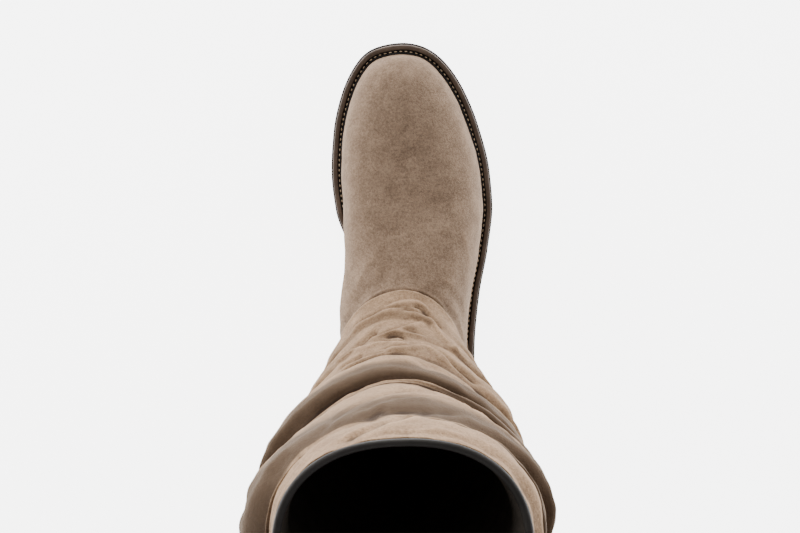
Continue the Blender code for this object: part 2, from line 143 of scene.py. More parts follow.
VAMP_LINE = table(
    "name run drop",
    ("ankle", 0.00, 0.00),
    ("instep", 0.16, 0.27),
    ("waist", 0.36, 0.54),
    ("ball", 0.60, 0.76),
    ("toe break", 0.80, 0.90),
    ("toe box", 1.00, 1.00),
)
SHAFT_LINE = table(
    "name rise width depth forward inward square",
    ("above the ankle", 0.08, 0.67, 1.04, 0.64, 1.11, 2.05),
    ("lower leg", 0.22, 0.80, 0.99, 0.34, 1.20, 1.95),
    ("slouch", 0.42, 0.94, 0.98, 0.06, 1.36, 1.70),
    ("upper leg", 0.68, 0.98, 0.99, 0.02, 1.36, 1.72),
    ("under the collar", 0.90, 0.94, 1.01, 0.12, 1.26, 2.20),
    ("collar", 1.00, 0.90, 1.01, 0.16, 1.17, 2.30),
)
FOLDS = table(
    "name front outer back inner out_front out_outer out_back out_inner",
    ("ankle seam", 0.000, 0.00, 0.00, 0.00, 0.22, 0.30, 0.45, 0.40),
    ("instep fold", 0.090, 0.13, 0.15, 0.12, 0.20, 0.50, 0.60, 0.50),
    ("shin fold", 0.180, 0.24, 0.27, 0.25, 0.18, 0.75, 0.75, 0.60),
    ("great fold", 0.285, 0.37, 0.38, 0.36, 0.40, 0.56, 0.80, 1.00),
    ("side fold", 0.465, 0.52, 0.49, 0.53, 0.02, 0.78, 0.80, 0.40),
    ("overhang", 0.480, 0.63, 0.61, 0.62, 0.22, 0.95, 0.75, 1.05),
    ("upper fold", 0.800, 0.77, 0.76, 0.93, 0.02, 0.50, 0.60, 0.20),
    ("collar fold", 0.815, 0.85, 0.87, 0.95, 0.15, 0.35, 0.40, 0.06),
    ("hem", 0.965, 0.965, 0.965, 0.965, 0.00, 0.00, 0.00, 0.00),
)
FOLD_BAND = table(
    "name share swell",
    ("crease", 0.00, -0.12),
    ("under the ridge", 0.20, 0.54),
    ("ridge", 0.52, 1.00),
    ("shoulder", 0.77, 0.94),
    ("tread", 0.93, 0.38),
)
FOLD_HANG = 0.0055
CREASE_DEPTH = 0.0035
CREASE_REACH = 0.22
ANKLE_FOLDS = 3
CALM_FRONT = 0.80
print("stations:", len(OUTLINE), "folds:", len(FOLDS) - 1)

# %% [markdown]
# ## The forms behind every piece
# A last gives the foot its form, and the leather over it takes that form. Here smooth curves
# through the tables do the same. The curve stays level where the table is level, so the heel
# and the tread stay flat.

# %% Smooth curves through the tables
def smooth(knots, values, at):
    """Monotone cubic curve through a table's column, so that a level stretch stays level."""
    at = min(max(at, knots[0]), knots[-1])
    steps = [b - a for a, b in zip(knots, knots[1:])]
    chords = [(b - a) / step for a, b, step in zip(values, values[1:], steps)]
    slopes = [chords[0]]
    for before, after in zip(chords, chords[1:]):
        slopes.append(2 * before * after / (before + after) if before * after > 0 else 0.0)
    slopes.append(chords[-1])
    i = max(0, min(len(steps) - 1, sum(1 for k in knots[1:] if k < at)))
    t = (at - knots[i]) / steps[i]
    start, end = values[i], values[i + 1]
    leave, arrive = slopes[i] * steps[i], slopes[i + 1] * steps[i]
    early = start * (1 + 2 * t) * (1 - t) ** 2 + leave * t * (1 - t) ** 2
    return early + end * (3 - 2 * t) * t * t + arrive * (t - 1) * t * t


@lru_cache(maxsize=None)
def column(table, name):
    """One named column of a table."""
    return [getattr(row, name) for row in table]


def soft_step(start, end, at):
    """Smooth 0 to 1 between start and end."""
    t = min(max((at - start) / (end - start), 0.0), 1.0)
    return t * t * (3 - 2 * t)


waist_rise = smooth(column(SOLE_LINE, "along"), column(SOLE_LINE, "heel"), 0.36)
print("height of the sole line at the waist:", round(waist_rise, 3))

# %% The sole's outline and side view
OUTLINE_TURNS = [math.acos(1 - 2 * row.along) / math.pi for row in OUTLINE]


def outline(turn):
    """Point of the outsole's edge in plan. Turn runs 0 heel, 1 toe, 2 heel, outer side first."""
    turn %= 2.0
    side = "outer" if turn <= 1 else "inner"
    share = turn if turn <= 1 else 2 - turn
    x = BALL_WIDTH * smooth(OUTLINE_TURNS, column(OUTLINE, side), share)
    y = SOLE_LENGTH * (1 - math.cos(math.pi * share)) / 2 - HEEL_CENTRE
    return Vector((x, y))


def edge(turn, inset):
    """Point of the outline moved inwards by inset."""
    run = outline(turn + STEP) - outline(turn - STEP)
    return outline(turn) + Vector((-run.y, run.x)).normalized() * inset


def underside(y):
    """Height of the outsole's underside at a place along the boot."""
    along = (y + HEEL_CENTRE) / SOLE_LENGTH
    knots = column(SOLE_LINE, "along")
    heel = smooth(knots, column(SOLE_LINE, "heel"), along)
    toe = smooth(knots, column(SOLE_LINE, "toe"), along)
    return HEEL_HEIGHT * heel + TOE_SPRING * toe


def seat(y):
    """Height of the surface that the welt, the insole and the upper sit on."""
    return underside(y) + OUTSOLE_THICKNESS + GAP


def mm(place):
    """A place in millimetres, for printing."""
    return [round(1000 * v, 1) for v in place]


print("toe tip:", mm(outline(1.0)), "mm")

# %% The ankle ring and the crest of the vamp
def ankle_shift(angle):
    """How far the ankle ring lies towards the inner side of the foot."""
    return LEG_OFFSET + ANKLE_SIDE_OFFSET * math.sin(angle) ** 2


ANKLE_MIDDLE = (ANKLE_FRONT + ANKLE_BACK) / 2 - HEEL_CENTRE
ANKLE_HALF_DEPTH = (ANKLE_FRONT - ANKLE_BACK) / 2


def ankle_point(angle):
    """Point of the ankle ring. Angle is 0 at the back and pi at the front, outer side first."""
    forward = (1 - math.cos(angle)) / 2
    height = ANKLE_BACK_HEIGHT + (ANKLE_FRONT_HEIGHT - ANKLE_BACK_HEIGHT) * forward
    x = ANKLE_WIDTH / 2 * math.sin(angle) - ankle_shift(angle)
    y = ANKLE_MIDDLE - ANKLE_HALF_DEPTH * math.cos(angle)
    return Vector((x, y, height - ANKLE_SIDE_DIP * math.sin(angle) ** 2))


def crest_point(run):
    """Point of the vamp's crest, from the ankle ring at 0 to the toe box at 1."""
    start = ankle_point(math.pi)
    toe = outline(1.0)
    end_y = toe.y - WELT_REACH - TOE_BOX_DEPTH
    end_z = seat(end_y) + TOE_BOX_HEIGHT
    drop = smooth(column(VAMP_LINE, "run"), column(VAMP_LINE, "drop"), run)
    x = start.x + (toe.x - start.x) * run
    return Vector((x, start.y + (end_y - start.y) * run, start.z + (end_z - start.z) * drop))


def crest_slope(run):
    """Rise of the crest for each metre towards the toe."""
    near = crest_point(max(0.0, run - STEP))
    far = crest_point(min(1.0, run + STEP))
    return (far.z - near.z) / (far.y - near.y)


print("front of the ankle:", mm(ankle_point(math.pi)), "mm")

# %% [markdown]
# The foot of the upper is drawn over the last from the feather line up. Each column is one cubic
# curve: it leaves the welt, hangs over it a little on the inner side, and arrives at the ankle
# ring or at the crest of the vamp.

# %% One column of the foot
@lru_cache(maxsize=None)
def foot_column(index):
    """The four control points of one column of the foot, from the feather line up."""
    turn = index / SIDE_COLUMNS
    side_index = index if index <= SIDE_COLUMNS else 2 * SIDE_COLUMNS - index
    plan = edge(turn, WELT_REACH)
    low = Vector((plan.x, plan.y, seat(plan.y) + WELT_THICKNESS + 2 * GAP))
    outward = (plan - edge(turn, WELT_REACH + STEP)).normalized()
    outward = Vector((outward.x, outward.y, 0))
    if side_index <= RING_COLUMNS:
        angle = math.pi * side_index / RING_COLUMNS
        top = ankle_point(angle if index <= SIDE_COLUMNS else 2 * math.pi - angle)
        slope = crest_slope(0.0)
    else:
        run = (side_index - RING_COLUMNS) / VAMP_COLUMNS
        top = crest_point(run)
        slope = crest_slope(run)
    height = top.z - low.z
    over = soft_step(VAMP_BLEND_START, VAMP_BLEND_END, side_index / RING_COLUMNS)
    across = Vector((top.x - low.x, top.y - low.y, 0))
    across.z = slope * across.y
    leave = Vector((0, 0, height * (UPRIGHT + (VAMP_UPRIGHT - UPRIGHT) * over)))
    side = "hang_outer" if index <= SIDE_COLUMNS else "hang_inner"
    hang = smooth(OUTLINE_TURNS, column(OUTLINE, side), side_index / SIDE_COLUMNS)
    leave += outward * (UPPER_HANG * hang)
    upright = Vector((COLUMN_LEAN * across.x, COLUMN_LEAN * across.y, UPRIGHT * height))
    upright -= outward * (HANG_AT_TOP * UPPER_HANG * hang)
    arrive = upright * (1 - over) + across * (VAMP_FULLNESS * over)
    return low, low + leave, top - arrive, top


def along_column(points, t):
    """Point at share t of a cubic column."""
    a, b, c, d = points
    return a * (1 - t) ** 3 + b * (3 * t * (1 - t) ** 2) + c * (3 * t * t * (1 - t)) + d * t**3


print("height of the toe box:", round(1000 * foot_column(SIDE_COLUMNS)[3].z, 1), "mm")

# %% [markdown]
# The shaft is a plain tube that is too long for the leg, so it sinks into folds. Each fold has a
# crease line under it and stands out by its own share of the fold swell. Both change round the
# leg. Four values for each fold are enough: front, outer side, back and inner side.

# %% The shaft and its folds
def around(front, outer, back, inner, angle):
    """Value at an angle round the leg from its four cardinal values, joined smoothly."""
    mean = (front + outer + back + inner) / 4
    twist = (front + back - outer - inner) / 4
    first = (back - front) / 2 * math.cos(angle)
    return mean + first + (outer - inner) / 2 * math.sin(angle) + twist * math.cos(2 * angle)


def shaft_point(angle, rise, swell):
    """Point of the shaft at a share of its rise, standing out by swell from its plain form."""
    ring = ankle_point(angle)
    knots = [0.0] + column(SHAFT_LINE, "rise")
    shaft_middle = SHAFT_BACK_SET - HEEL_CENTRE

    def size(name, scale, first, base=0.0):
        return smooth(knots, [first] + [base + scale * v for v in column(SHAFT_LINE, name)], rise)

    wide = size("width", SHAFT_WIDTH / 2, ANKLE_WIDTH / 2) + swell
    deep = size("depth", SHAFT_DEPTH / 2, ANKLE_HALF_DEPTH) + swell
    ahead = size("forward", ANKLE_MIDDLE - shaft_middle, ANKLE_MIDDLE, shaft_middle)
    inward = size("inward", LEG_OFFSET, ankle_shift(angle))
    square = size("square", 1.0, 2.0)
    across, along = math.sin(angle), -math.cos(angle)
    x = wide * math.copysign(abs(across) ** (2 / square), across) - inward
    y = deep * math.copysign(abs(along) ** (2 / square), along) + ahead
    top = SHAFT_HEIGHT - COLLAR_DIP * across * across
    return Vector((x, y, ring.z + GAP + (top - ring.z - GAP) * rise))


def fold_line(fold, angle):
    """How high the crease under a fold runs, as a share of the shaft's rise."""
    return around(fold.front, fold.outer, fold.back, fold.inner, angle)


def fold_swell(fold, angle):
    """How far a fold's ridge stands out, in metres."""
    share = around(fold.out_front, fold.out_outer, fold.out_back, fold.out_inner, angle)
    return FOLD_SWELL * share


def calm(angle):
    """What is left of the ankle folds at an angle: they fade out in front, where the creases take over."""
    return 1 - CALM_FRONT * soft_step(0.35, 0.85, -math.cos(angle))


def sink(angle, row):
    """How strongly the leather sinks at a crease, from 0 to about 1, and how near the crease is."""
    crease = round(row)
    if not 1 <= crease <= len(FOLDS) - 2:
        return 0.0, 0.0
    near = max(0.0, 1 - abs(row - crease) / CREASE_REACH)
    beside = (fold_swell(FOLDS[crease - 1], angle), fold_swell(FOLDS[crease], angle))
    strong = max(0.0, sum(beside) / 2 / FOLD_SWELL)
    if crease <= ANKLE_FOLDS:
        strong *= calm(angle)
    return strong, near * near * (3 - 2 * near)


def shaft_place(angle, row):
    """Point of the shaft. Row 3.4 is 40 % of the way up over the fold number 3."""
    number = min(int(row), len(FOLDS) - 2)
    share = row - number
    lower, upper = FOLDS[number], FOLDS[number + 1]
    low, high = fold_line(lower, angle), fold_line(upper, angle)
    own, above = max(fold_swell(lower, angle), 0.0), max(fold_swell(upper, angle), 0.0)
    shares = [band.share for band in FOLD_BAND] + [1.0]
    swells = [own * band.swell for band in FOLD_BAND] + [above * FOLD_BAND[0].swell]
    if number == 0:
        swells[0] = 0.0
    if number < ANKLE_FOLDS:
        swells = [calm(angle) * swell for swell in swells]
    strong, near = sink(angle, row)
    out = smooth(shares, swells, share) - CREASE_DEPTH * strong * near
    point = shaft_point(angle, low + (high - low) * share, out)
    point.z -= FOLD_HANG * strong * near
    return point


print("front of the great fold:", mm(shaft_place(math.pi, 3.4)), "mm")

# %% [markdown]
# ## Tools of this lesson
# A fine skin starts as a flat grid. Each point of the grid is carried to its place on the boot,
# and then the seam at the back is closed. That keeps one even weave of faces, which takes fine
# creases well, and it gives the piece its UV map.

# %% Vertices as numbers
def read_rows(piece, name):
    """Three numbers of each vertex, as rows."""
    flat = np.empty(len(piece.data.vertices) * 3)
    piece.data.vertices.foreach_get(name, flat)
    return flat.reshape(-1, 3)


def places(piece):
    return read_rows(piece, "co")


def normals(piece):
    return read_rows(piece, "normal")


def set_places(piece, rows):
    piece.data.vertices.foreach_set("co", rows.ravel())
    piece.data.update()


def keep_value(piece, name, values):
    """Store one number for each vertex, for the material to read."""
    made = piece.data.attributes.new(name, "FLOAT", "POINT")
    made.data.foreach_set("value", np.asarray(values, dtype=float))


def kept(piece, name):
    """The numbers stored for each vertex under a name."""
    values = np.empty(len(piece.data.vertices))
    piece.data.attributes[name].data.foreach_get("value", values)
    return values


print("vertex tools ready")

# %% Selection, edit mode and the grid tool
SEAM_MERGE = 0.00002


def only(piece):
    """Make one piece the active and only selected one."""
    bpy.ops.object.select_all(action="DESELECT")
    piece.select_set(True)
    bpy.context.view_layer.objects.active = piece


def set_down(name, data):
    """Object made from data, put into the scene."""
    made = bpy.data.objects.new(name, data)
    bpy.context.scene.collection.objects.link(made)
    return made


def in_edit_mode(piece, *steps):
    """Run mesh operators on the whole piece in edit mode."""
    only(piece)
    bpy.ops.object.mode_set(mode="EDIT")
    bpy.ops.mesh.select_all(action="SELECT")
    for step in steps:
        step()
    bpy.ops.object.mode_set(mode="OBJECT")


def close_seams():
    bpy.ops.mesh.remove_doubles(threshold=SEAM_MERGE)


def face_outwards():
    bpy.ops.mesh.normals_make_consistent(inside=False)


def fine_grid(name, columns, rows, place):
    """Piece whose grid points are carried to place(across, up), both from 0 to 1."""
    bpy.ops.object.select_all(action="DESELECT")
    bpy.ops.mesh.primitive_grid_add(x_subdivisions=columns, y_subdivisions=rows, size=2)
    piece = bpy.context.object
    piece.name = name
    shares = (places(piece)[:, :2] + 1) / 2
    set_places(piece, np.array([place(across, up) for across, up in shares], dtype=float))
    keep_value(piece, "across", shares[:, 0])
    keep_value(piece, "up", shares[:, 1])
    in_edit_mode(piece, close_seams)
    bpy.ops.object.shade_smooth()
    return piece


def thicken(piece, thickness, inner=0):
    """Give an open skin a real thickness inwards. inner counts on to the inner face's material."""
    only(piece)
    wall = piece.modifiers.new("wall", "SOLIDIFY")
    wall.thickness, wall.offset, wall.use_even_offset, wall.material_offset = thickness, -1, False, inner
    bpy.ops.object.modifier_apply(modifier=wall.name)


print("tools ready")

# %% [markdown]
# Creases are pressed in one by one. Each one is a soft line on the skin: a trough with a lip on
# both sides, or a ridge when its depth is negative. It fades out at its ends.

# %% The crease tool
Crease = namedtuple("Crease", "name depth width lip path")
# How far a crease reaches, where its lip stands and how wide the lip is, in widths of the crease.
REACH, LIP_AT, LIP_WIDTH = 3.6, 1.9, 0.8
FADED_PARTS = 5


def creases(*rows):
    """Creases from rows that hold a name, the depth, width and lip in millimetres, and the path."""
    return [Crease(*row[:4], row[4:]) for row in rows]


def soft_line(path, steps=14):
    """Smooth line through a few points."""
    knots = [np.array(p, dtype=float) for p in path]
    knots = [2 * knots[0] - knots[1]] + knots + [2 * knots[-1] - knots[-2]]
    line = []
    for a, b, c, d in zip(knots, knots[1:], knots[2:], knots[3:]):
        for i in range(steps):
            t = i / steps
            bend = (2 * a - 5 * b + 4 * c - d) * t * t + (3 * b - a - 3 * c + d) * t**3
            line.append(0.5 * (2 * b + (c - a) * t + bend))
    return line + [knots[-2]]


def press(piece, group, place):
    """Press a group of creases into a skin. place carries a crease's own pair of numbers to the skin.

    The first and the last fifth of a crease fade out.
    """
    spots = places(piece)
    out = normals(piece)
    move = np.zeros(len(spots))
    for crease in group:
        line = np.array([place(*pair) for pair in soft_line(crease.path)])
        width = crease.width / 1000
        reach = REACH * width
        low, high = line.min(0) - reach, line.max(0) + reach
        near = np.nonzero(((spots > low) & (spots < high)).all(1))[0]
        if not len(near):
            continue
        gaps = np.linalg.norm(spots[near][:, None] - line[None], axis=2)
        which = gaps.argmin(1)
        gap = gaps[np.arange(len(near)), which]
        run = which / (len(line) - 1)
        fade = np.clip(np.minimum(run, 1 - run) * FADED_PARTS, 0, 1)
        fade = fade * fade * (3 - 2 * fade)
        trough = np.exp(-((gap / width) ** 2))
        lips = np.exp(-(((gap - LIP_AT * width) / (LIP_WIDTH * width)) ** 2))
        move[near] += fade * (crease.lip * lips - crease.depth * trough) / 1000
    set_places(piece, spots + out * move[:, None])


print("crease tool ready")

# %% [markdown]
# ## The foot
# The foot of the upper is one piece of suede, drawn over the last. Its grid runs round the boot
# and from the feather line up to the crest of the vamp.

# %% The suede of the foot
FOOT_GRID = (340, 66)
TURNED_UNDER = 0.05


def foot_place(across, up):
    """Point of the foot's skin. The lowest rows stand straight down behind the welt."""
    control = foot_column(round(across * 2 * SIDE_COLUMNS, 4))
    if up < TURNED_UNDER:
        low = Vector(control[0])
        low.z -= (WELT_THICKNESS + 2 * GAP) * (1 - up / TURNED_UNDER)
        return low
    return along_column(control, (up - TURNED_UNDER) / (1 - TURNED_UNDER))


foot = fine_grid("suede_foot", *FOOT_GRID, foot_place)
print("foot:", len(foot.data.polygons), "faces")

# %% [markdown]
# The foot is smooth in front. The leather strains in long soft ridges from the toe box to the
# inner waist, and it wrinkles under the ankle on both sides, where the foot bends.

# %% Ridges and wrinkles of the foot
FOOT_CREASES = creases(
    ("toe box to waist", -0.35, 4.5, 0.0, (39.8, 0.93), (41.7, 0.83), (43.7, 0.69), (45.8, 0.59), (48.2, 0.44)),
    ("instep to waist", -0.55, 3.2, 0.0, (46.2, 0.88), (48.4, 0.77), (49.9, 0.66), (51.3, 0.6), (52.4, 0.57)),
    ("beside that ridge", 0.5, 3.0, 0.1, (47.6, 0.94), (49.6, 0.84), (51.2, 0.75), (52.6, 0.7)),
    ("outer streak", -0.35, 3.0, 0.0, (19.8, 0.56), (18.3, 0.47), (17.0, 0.37)),
    ("outer flank, front", 0.45, 2.6, 0.2, (17.0, 0.8), (15.6, 0.62), (14.4, 0.46)),
    ("outer flank, middle", 0.7, 2.4, 0.3, (14.6, 0.94), (13.6, 0.76), (12.0, 0.58)),
    ("outer flank, back", 0.55, 2.2, 0.3, (11.6, 0.92), (10.4, 0.8), (8.6, 0.72)),
    ("inner flank, front", 0.6, 3.0, 0.3, (53.6, 0.84), (54.4, 0.66), (55.6, 0.48)),
    ("inner flank, middle", 0.75, 2.6, 0.3, (54.4, 0.95), (55.8, 0.78), (57.4, 0.62)),
    ("inner flank, back", 0.5, 2.2, 0.2, (57.2, 0.92), (58.8, 0.8), (60.4, 0.7)),
    ("back seam", 0.45, 0.7, 0.15, (0.0, 0.98), (0.0, 0.8), (0.0, 0.6)),
)


def foot_spot(column_number, up):
    """Point of the foot's skin at a column number and a share of the way up."""
    return foot_place((column_number / (2 * SIDE_COLUMNS)) % 1.0, up)


def seam_spot(degrees, above):
    """Point of the ankle seam at degrees from the front."""
    return ankle_point(math.pi - math.radians(degrees)) + Vector((0, 0, above / 1000))


SEAM_BELOW = -0.8
ANKLE_SEAM = creases(("ankle seam", 1.1, 1.1, 0.25, *((d, SEAM_BELOW) for d in range(-180, 181, 10))))
press(foot, FOOT_CREASES, foot_spot)
press(foot, ANKLE_SEAM, seam_spot)
print("creases of the foot:", len(FOOT_CREASES))

# %% [markdown]
# ## The shaft
# The shaft's lower edge is turned in and sewn over the foot, so it stands a little proud. Above
# it the tube has sunk into folds.

# %% The suede of the shaft
SHAFT_GRID = (240, 192)
ROWS = len(FOLDS) - 1
FOLDED = 0.965
TUCK = 0.0009
TUCK_REACH = 0.09


def shaft_grid_place(across, up):
    """Point of the shaft's skin, with the last rows standing straight up to the collar."""
    angle = 2 * math.pi * across
    if up > FOLDED:
        share = (up - FOLDED) / (1 - FOLDED)
        return shaft_point(angle, FOLDS[-1].front + (1 - FOLDS[-1].front) * share, 0.0)
    row = ROWS * up / FOLDED
    point = shaft_place(angle, row)
    proud = TUCK * math.exp(-((row / TUCK_REACH) ** 2))
    return point + Vector((math.sin(angle), -math.cos(angle), 0)) * proud


shaft = fine_grid("suede_shaft", *SHAFT_GRID, shaft_grid_place)
print("shaft:", len(shaft.data.polygons), "faces")

# %% [markdown]
# The folds alone look like tyres. What makes them leather are the creases that run across them.
# Each path is a row of pairs: degrees from the front, with the outer side positive, and the
# number of the fold with the share of the way over it.

# %% Creases at the ankle
ANKLE_CREASES = creases(
    ("pleat over the seam", -1.0, 1.9, 0.0, (-16, 0.61), (-6, 0.53), (4, 0.44), (15, 0.36), (24, 0.45)),
    ("line in that pleat", 0.55, 0.9, 0.15, (-10, 0.66), (-2, 0.59), (5, 0.49)),
    ("hollow on its right", 1.4, 1.7, 0.1, (9, 0.48), (16, 0.48), (25, 0.6)),
    ("long ridge, inner half", -2.0, 2.8, 0.0, (-41, 0.72), (-28, 0.77), (-17, 0.75), (-6, 0.73), (2, 0.71)),
    ("long ridge, outer half", -2.6, 2.7, 0.0, (-1, 0.77), (9, 0.85), (18, 0.89), (25, 0.91), (30, 1.43),
     (36, 1.8), (42, 1.88)),
    ("hollow over that half", 1.6, 2.2, 0.0, (13, 0.61), (22, 0.64), (28, 0.79), (35, 0.88)),
    ("shaded hollow", 2.4, 3.6, 0.2, (-31, 1.81), (-24, 1.71), (-18, 1.61), (-12, 1.51)),
    ("rising ridge", -2.5, 2.6, 0.0, (-23, 1.87), (-13, 1.92), (-7, 1.86), (1, 1.71), (8, 1.49), (18, 0.93)),
    ("dark line under it", 1.5, 1.5, 0.3, (-22, 1.93), (-14, 1.93), (-7, 1.94), (1, 1.99), (8, 2.3)),
    ("ridge over the dark line", -1.2, 1.7, 0.0, (-4, 1.91), (3, 1.86), (11, 1.87), (19, 1.92)),
    ("ridge under the dark line", -1.3, 2.1, 0.0, (-20, 2.22), (-11, 2.25), (-1, 2.41), (7, 2.49)),
    ("crossing ridge", -2.2, 2.5, 0.0, (-15, 2.71), (-6, 2.77), (4, 2.77), (12, 2.6), (19, 2.43), (23, 2.58),
     (28, 2.8), (34, 2.85)),
    ("short streak", -0.5, 1.0, 0.0, (3, 2.88), (9, 2.96), (12, 2.99)),
    ("outer gully", 2.2, 2.4, 0.3, (25, 2.37), (31, 2.62), (37, 2.71), (44, 2.78), (51, 2.82)),
    ("outer ridge beside it", -1.8, 2.6, 0.0, (31, 1.9), (39, 1.9), (48, 1.87)),
    ("inner gully", 1.6, 2.0, 0.2, (-38, 2.53), (-32, 2.56), (-26, 2.57), (-20, 2.6)),
    ("inner ridge beside it", -1.9, 2.4, 0.0, (-45, 1.86), (-36, 1.92), (-28, 1.97), (-18, 2.39)),
    ("ridge under the great fold", -1.6, 2.4, 0.0, (-37, 2.77), (-29, 2.85), (-21, 2.89), (-12, 2.93),
     (-4, 2.94)),
)
print("creases at the ankle:", len(ANKLE_CREASES))

# %% Creases of the upper leg, in front
FRONT_CREASES = creases(
    ("crease over the great fold", 3.2, 2.2, 0.5, (-58, 4.0), (-35, 3.98), (-10, 3.98), (15, 3.97),
     (40, 3.97), (62, 3.97)),
    ("sunk outer half of that fold", 2.6, 9.0, 0.0, (8, 3.4), (24, 3.34), (40, 3.3), (58, 3.3)),
    ("hollow under the face", 1.0, 2.2, 0.1, (-38, 5.91), (-30, 5.85), (-26, 5.67), (-18, 5.53), (-9, 5.46),
     (3, 5.4), (14, 5.28), (25, 4.96)),
    ("ridge beside that hollow", -0.9, 1.8, 0.0, (-45, 5.97), (-33, 5.95), (-24, 5.87), (-17, 5.71),
     (-9, 5.59), (3, 5.57), (13, 5.5), (22, 5.39), (30, 5.3), (35, 5.41), (41, 5.57), (47, 5.74)),
    ("edge of the upper tread", -1.2, 2.2, 0.0, (-26, 5.96), (-20, 5.9), (-14, 5.82), (-8, 5.74), (3, 5.7),
     (13, 5.63), (22, 5.54)),
    ("upper tread", 2.6, 4.6, 0.0, (-18, 7.29), (-11, 5.94), (-3, 5.91), (7, 5.89), (17, 5.84), (26, 5.78),
     (34, 5.74)),
    ("crease rising to the collar", 1.6, 2.8, 0.4, (-27, 7.97), (-20, 7.94), (-16, 7.87), (-11, 7.82),
     (-7, 7.71), (-4, 7.54), (0, 7.39), (6, 6.91), (14, 5.96), (21, 5.91)),
    ("ridge under the collar", -0.8, 2.5, 0.0, (-21, 8.2), (-14, 8.14), (-6, 7.98), (1, 7.94), (7, 7.93),
     (15, 7.89), (24, 7.91), (34, 7.94)),
    ("hollow in the collar face", 0.8, 1.8, 0.1, (21, 6.66), (28, 6.62), (37, 6.55), (47, 6.81), (53, 6.83)),
    ("inner pleat", 1.5, 2.2, 0.2, (-64, 5.89), (-54, 5.89), (-46, 5.88)),
    ("outer pleat", -1.0, 2.2, 0.0, (36, 5.28), (44, 5.49), (53, 5.58), (61, 5.83)),
)
print("creases in front:", len(FRONT_CREASES))

# %% Creases at the sides and the back
SIDE_CREASES = creases(
    # outer side
    ("at the seam", 0.77, 3.4, 0.3, (58, 0.3), (76, 0.52), (96, 0.6)),
    ("over fold 1", 1.1, 4.1, 0.5, (60, 1.4), (82, 1.62), (104, 1.45)),
    ("across fold 2", 1.36, 4.1, 0.5, (66, 2.7), (84, 2.45), (100, 2.2)),
    ("across fold 3", 1.27, 4.8, 0.5, (72, 3.7), (92, 3.45), (110, 3.62)),
    ("slanting", 1.53, 4.4, 0.6, (78, 4.55), (94, 4.4), (116, 4.62)),
    ("long slant", 1.61, 5.1, 0.6, (58, 5.25), (82, 5.48), (106, 5.3), (124, 5.62)),
    ("under the collar", 0.85, 4.4, 0.4, (66, 7.3), (88, 7.52), (108, 7.42)),
    # back
    ("low", 1.02, 4.1, 0.4, (140, 0.45), (160, 0.62), (182, 0.5), (204, 0.64)),
    ("across fold 1", 1.27, 4.4, 0.5, (134, 1.62), (156, 1.4), (178, 1.6)),
    ("across fold 2", 1.36, 4.4, 0.5, (168, 2.35), (190, 2.62), (214, 2.42)),
    ("across fold 3", 1.44, 5.1, 0.6, (132, 3.6), (154, 3.34), (176, 3.52)),
    ("across fold 4", 1.36, 4.8, 0.5, (160, 4.62), (184, 4.36), (206, 4.6)),
    ("long slant", 1.7, 5.4, 0.6, (136, 5.3), (160, 5.6), (186, 5.38), (210, 5.64)),
    ("across fold 6", 0.94, 4.1, 0.4, (150, 6.4), (172, 6.62), (196, 6.48)),
    ("under the collar", 0.94, 4.8, 0.4, (144, 7.46), (166, 7.3), (192, 7.5)),
    # inner side
    ("at the seam", 0.77, 3.4, 0.3, (-104, 0.58), (-82, 0.42), (-62, 0.56)),
    ("across fold 1", 1.1, 4.1, 0.5, (-110, 1.35), (-88, 1.6), (-66, 1.44)),
    ("across fold 2", 1.27, 4.1, 0.5, (-116, 2.62), (-94, 2.38), (-70, 2.6)),
    ("across fold 3", 1.61, 5.4, 0.6, (-118, 3.36), (-94, 3.6), (-72, 3.42)),
    ("slanting", 1.19, 4.1, 0.4, (-112, 4.66), (-92, 4.44), (-74, 4.6)),
    ("long slant", 1.87, 5.8, 0.7, (-126, 5.62), (-104, 5.34), (-82, 5.52), (-62, 5.3)),
    ("rising", 1.1, 4.8, 0.4, (-92, 5.2), (-78, 5.66), (-58, 5.8)),
    ("back seam", 0.5, 0.7, 0.2, (180, 0.08), (180, 2.0), (180, 4.0), (180, 6.0), (180, 7.9)),
)
print("creases at the sides and back:", len(SIDE_CREASES))


# %% Press the creases in
def shaft_spot(degrees, row):
    """Point of the shaft's skin at degrees from the front and a fold row."""
    return shaft_place(math.pi - math.radians(degrees), row)


def line_under(ridge, share=0.6, width=1.3, below=0.16, lowest=0.05):
    """Fine line along the lower side of a ridge, where the leather doubles over."""
    path = [(degrees, max(lowest, row - below)) for degrees, row in ridge.path]
    return Crease("under " + ridge.name, -share * ridge.depth, width, ridge.lip, path)


ANKLE_LINES = [line_under(crease) for crease in ANKLE_CREASES if crease.depth < 0]
for group in (FRONT_CREASES, ANKLE_CREASES + ANKLE_LINES, SIDE_CREASES):
    press(shaft, group, shaft_spot)
print("creases of the shaft:", len(FRONT_CREASES) + len(ANKLE_CREASES) + len(SIDE_CREASES))

# %% [markdown]
# Worn suede is never even. The skin is also lifted and lowered by a fraction of a millimetre in
# broad soft waves, and each point keeps how hollow its place is. The finish darkens the hollows
# with painted shade and lightens the ridges, partly for the nap rubbed there and partly as a painted highlight.

# %% Soft waves and hollows
def wave(piece, size, height):
    """Lift and lower a skin in soft waves of one size."""
    spots, out = places(piece), normals(piece)
    lift = np.array([noise.noise(Vector(s) / size) for s in spots])
    set_places(piece, spots + out * (lift * height)[:, None])


def soft_places(piece, rounds):
    """Places of the points after each one has moved to the mean of its neighbours a few times."""
    count = len(piece.data.vertices)
    edges = np.empty(len(piece.data.edges) * 2, dtype=int)
    piece.data.edges.foreach_get("vertices", edges)
    start, end = edges.reshape(-1, 2).T
    share = np.bincount(start, minlength=count) + np.bincount(end, minlength=count)
    mean = places(piece)
    for _ in range(rounds):
        total = [np.bincount(start, mean[end, k], count) + np.bincount(end, mean[start, k], count) for k in range(3)]
        mean = np.array(total).T / share[:, None]
    return mean


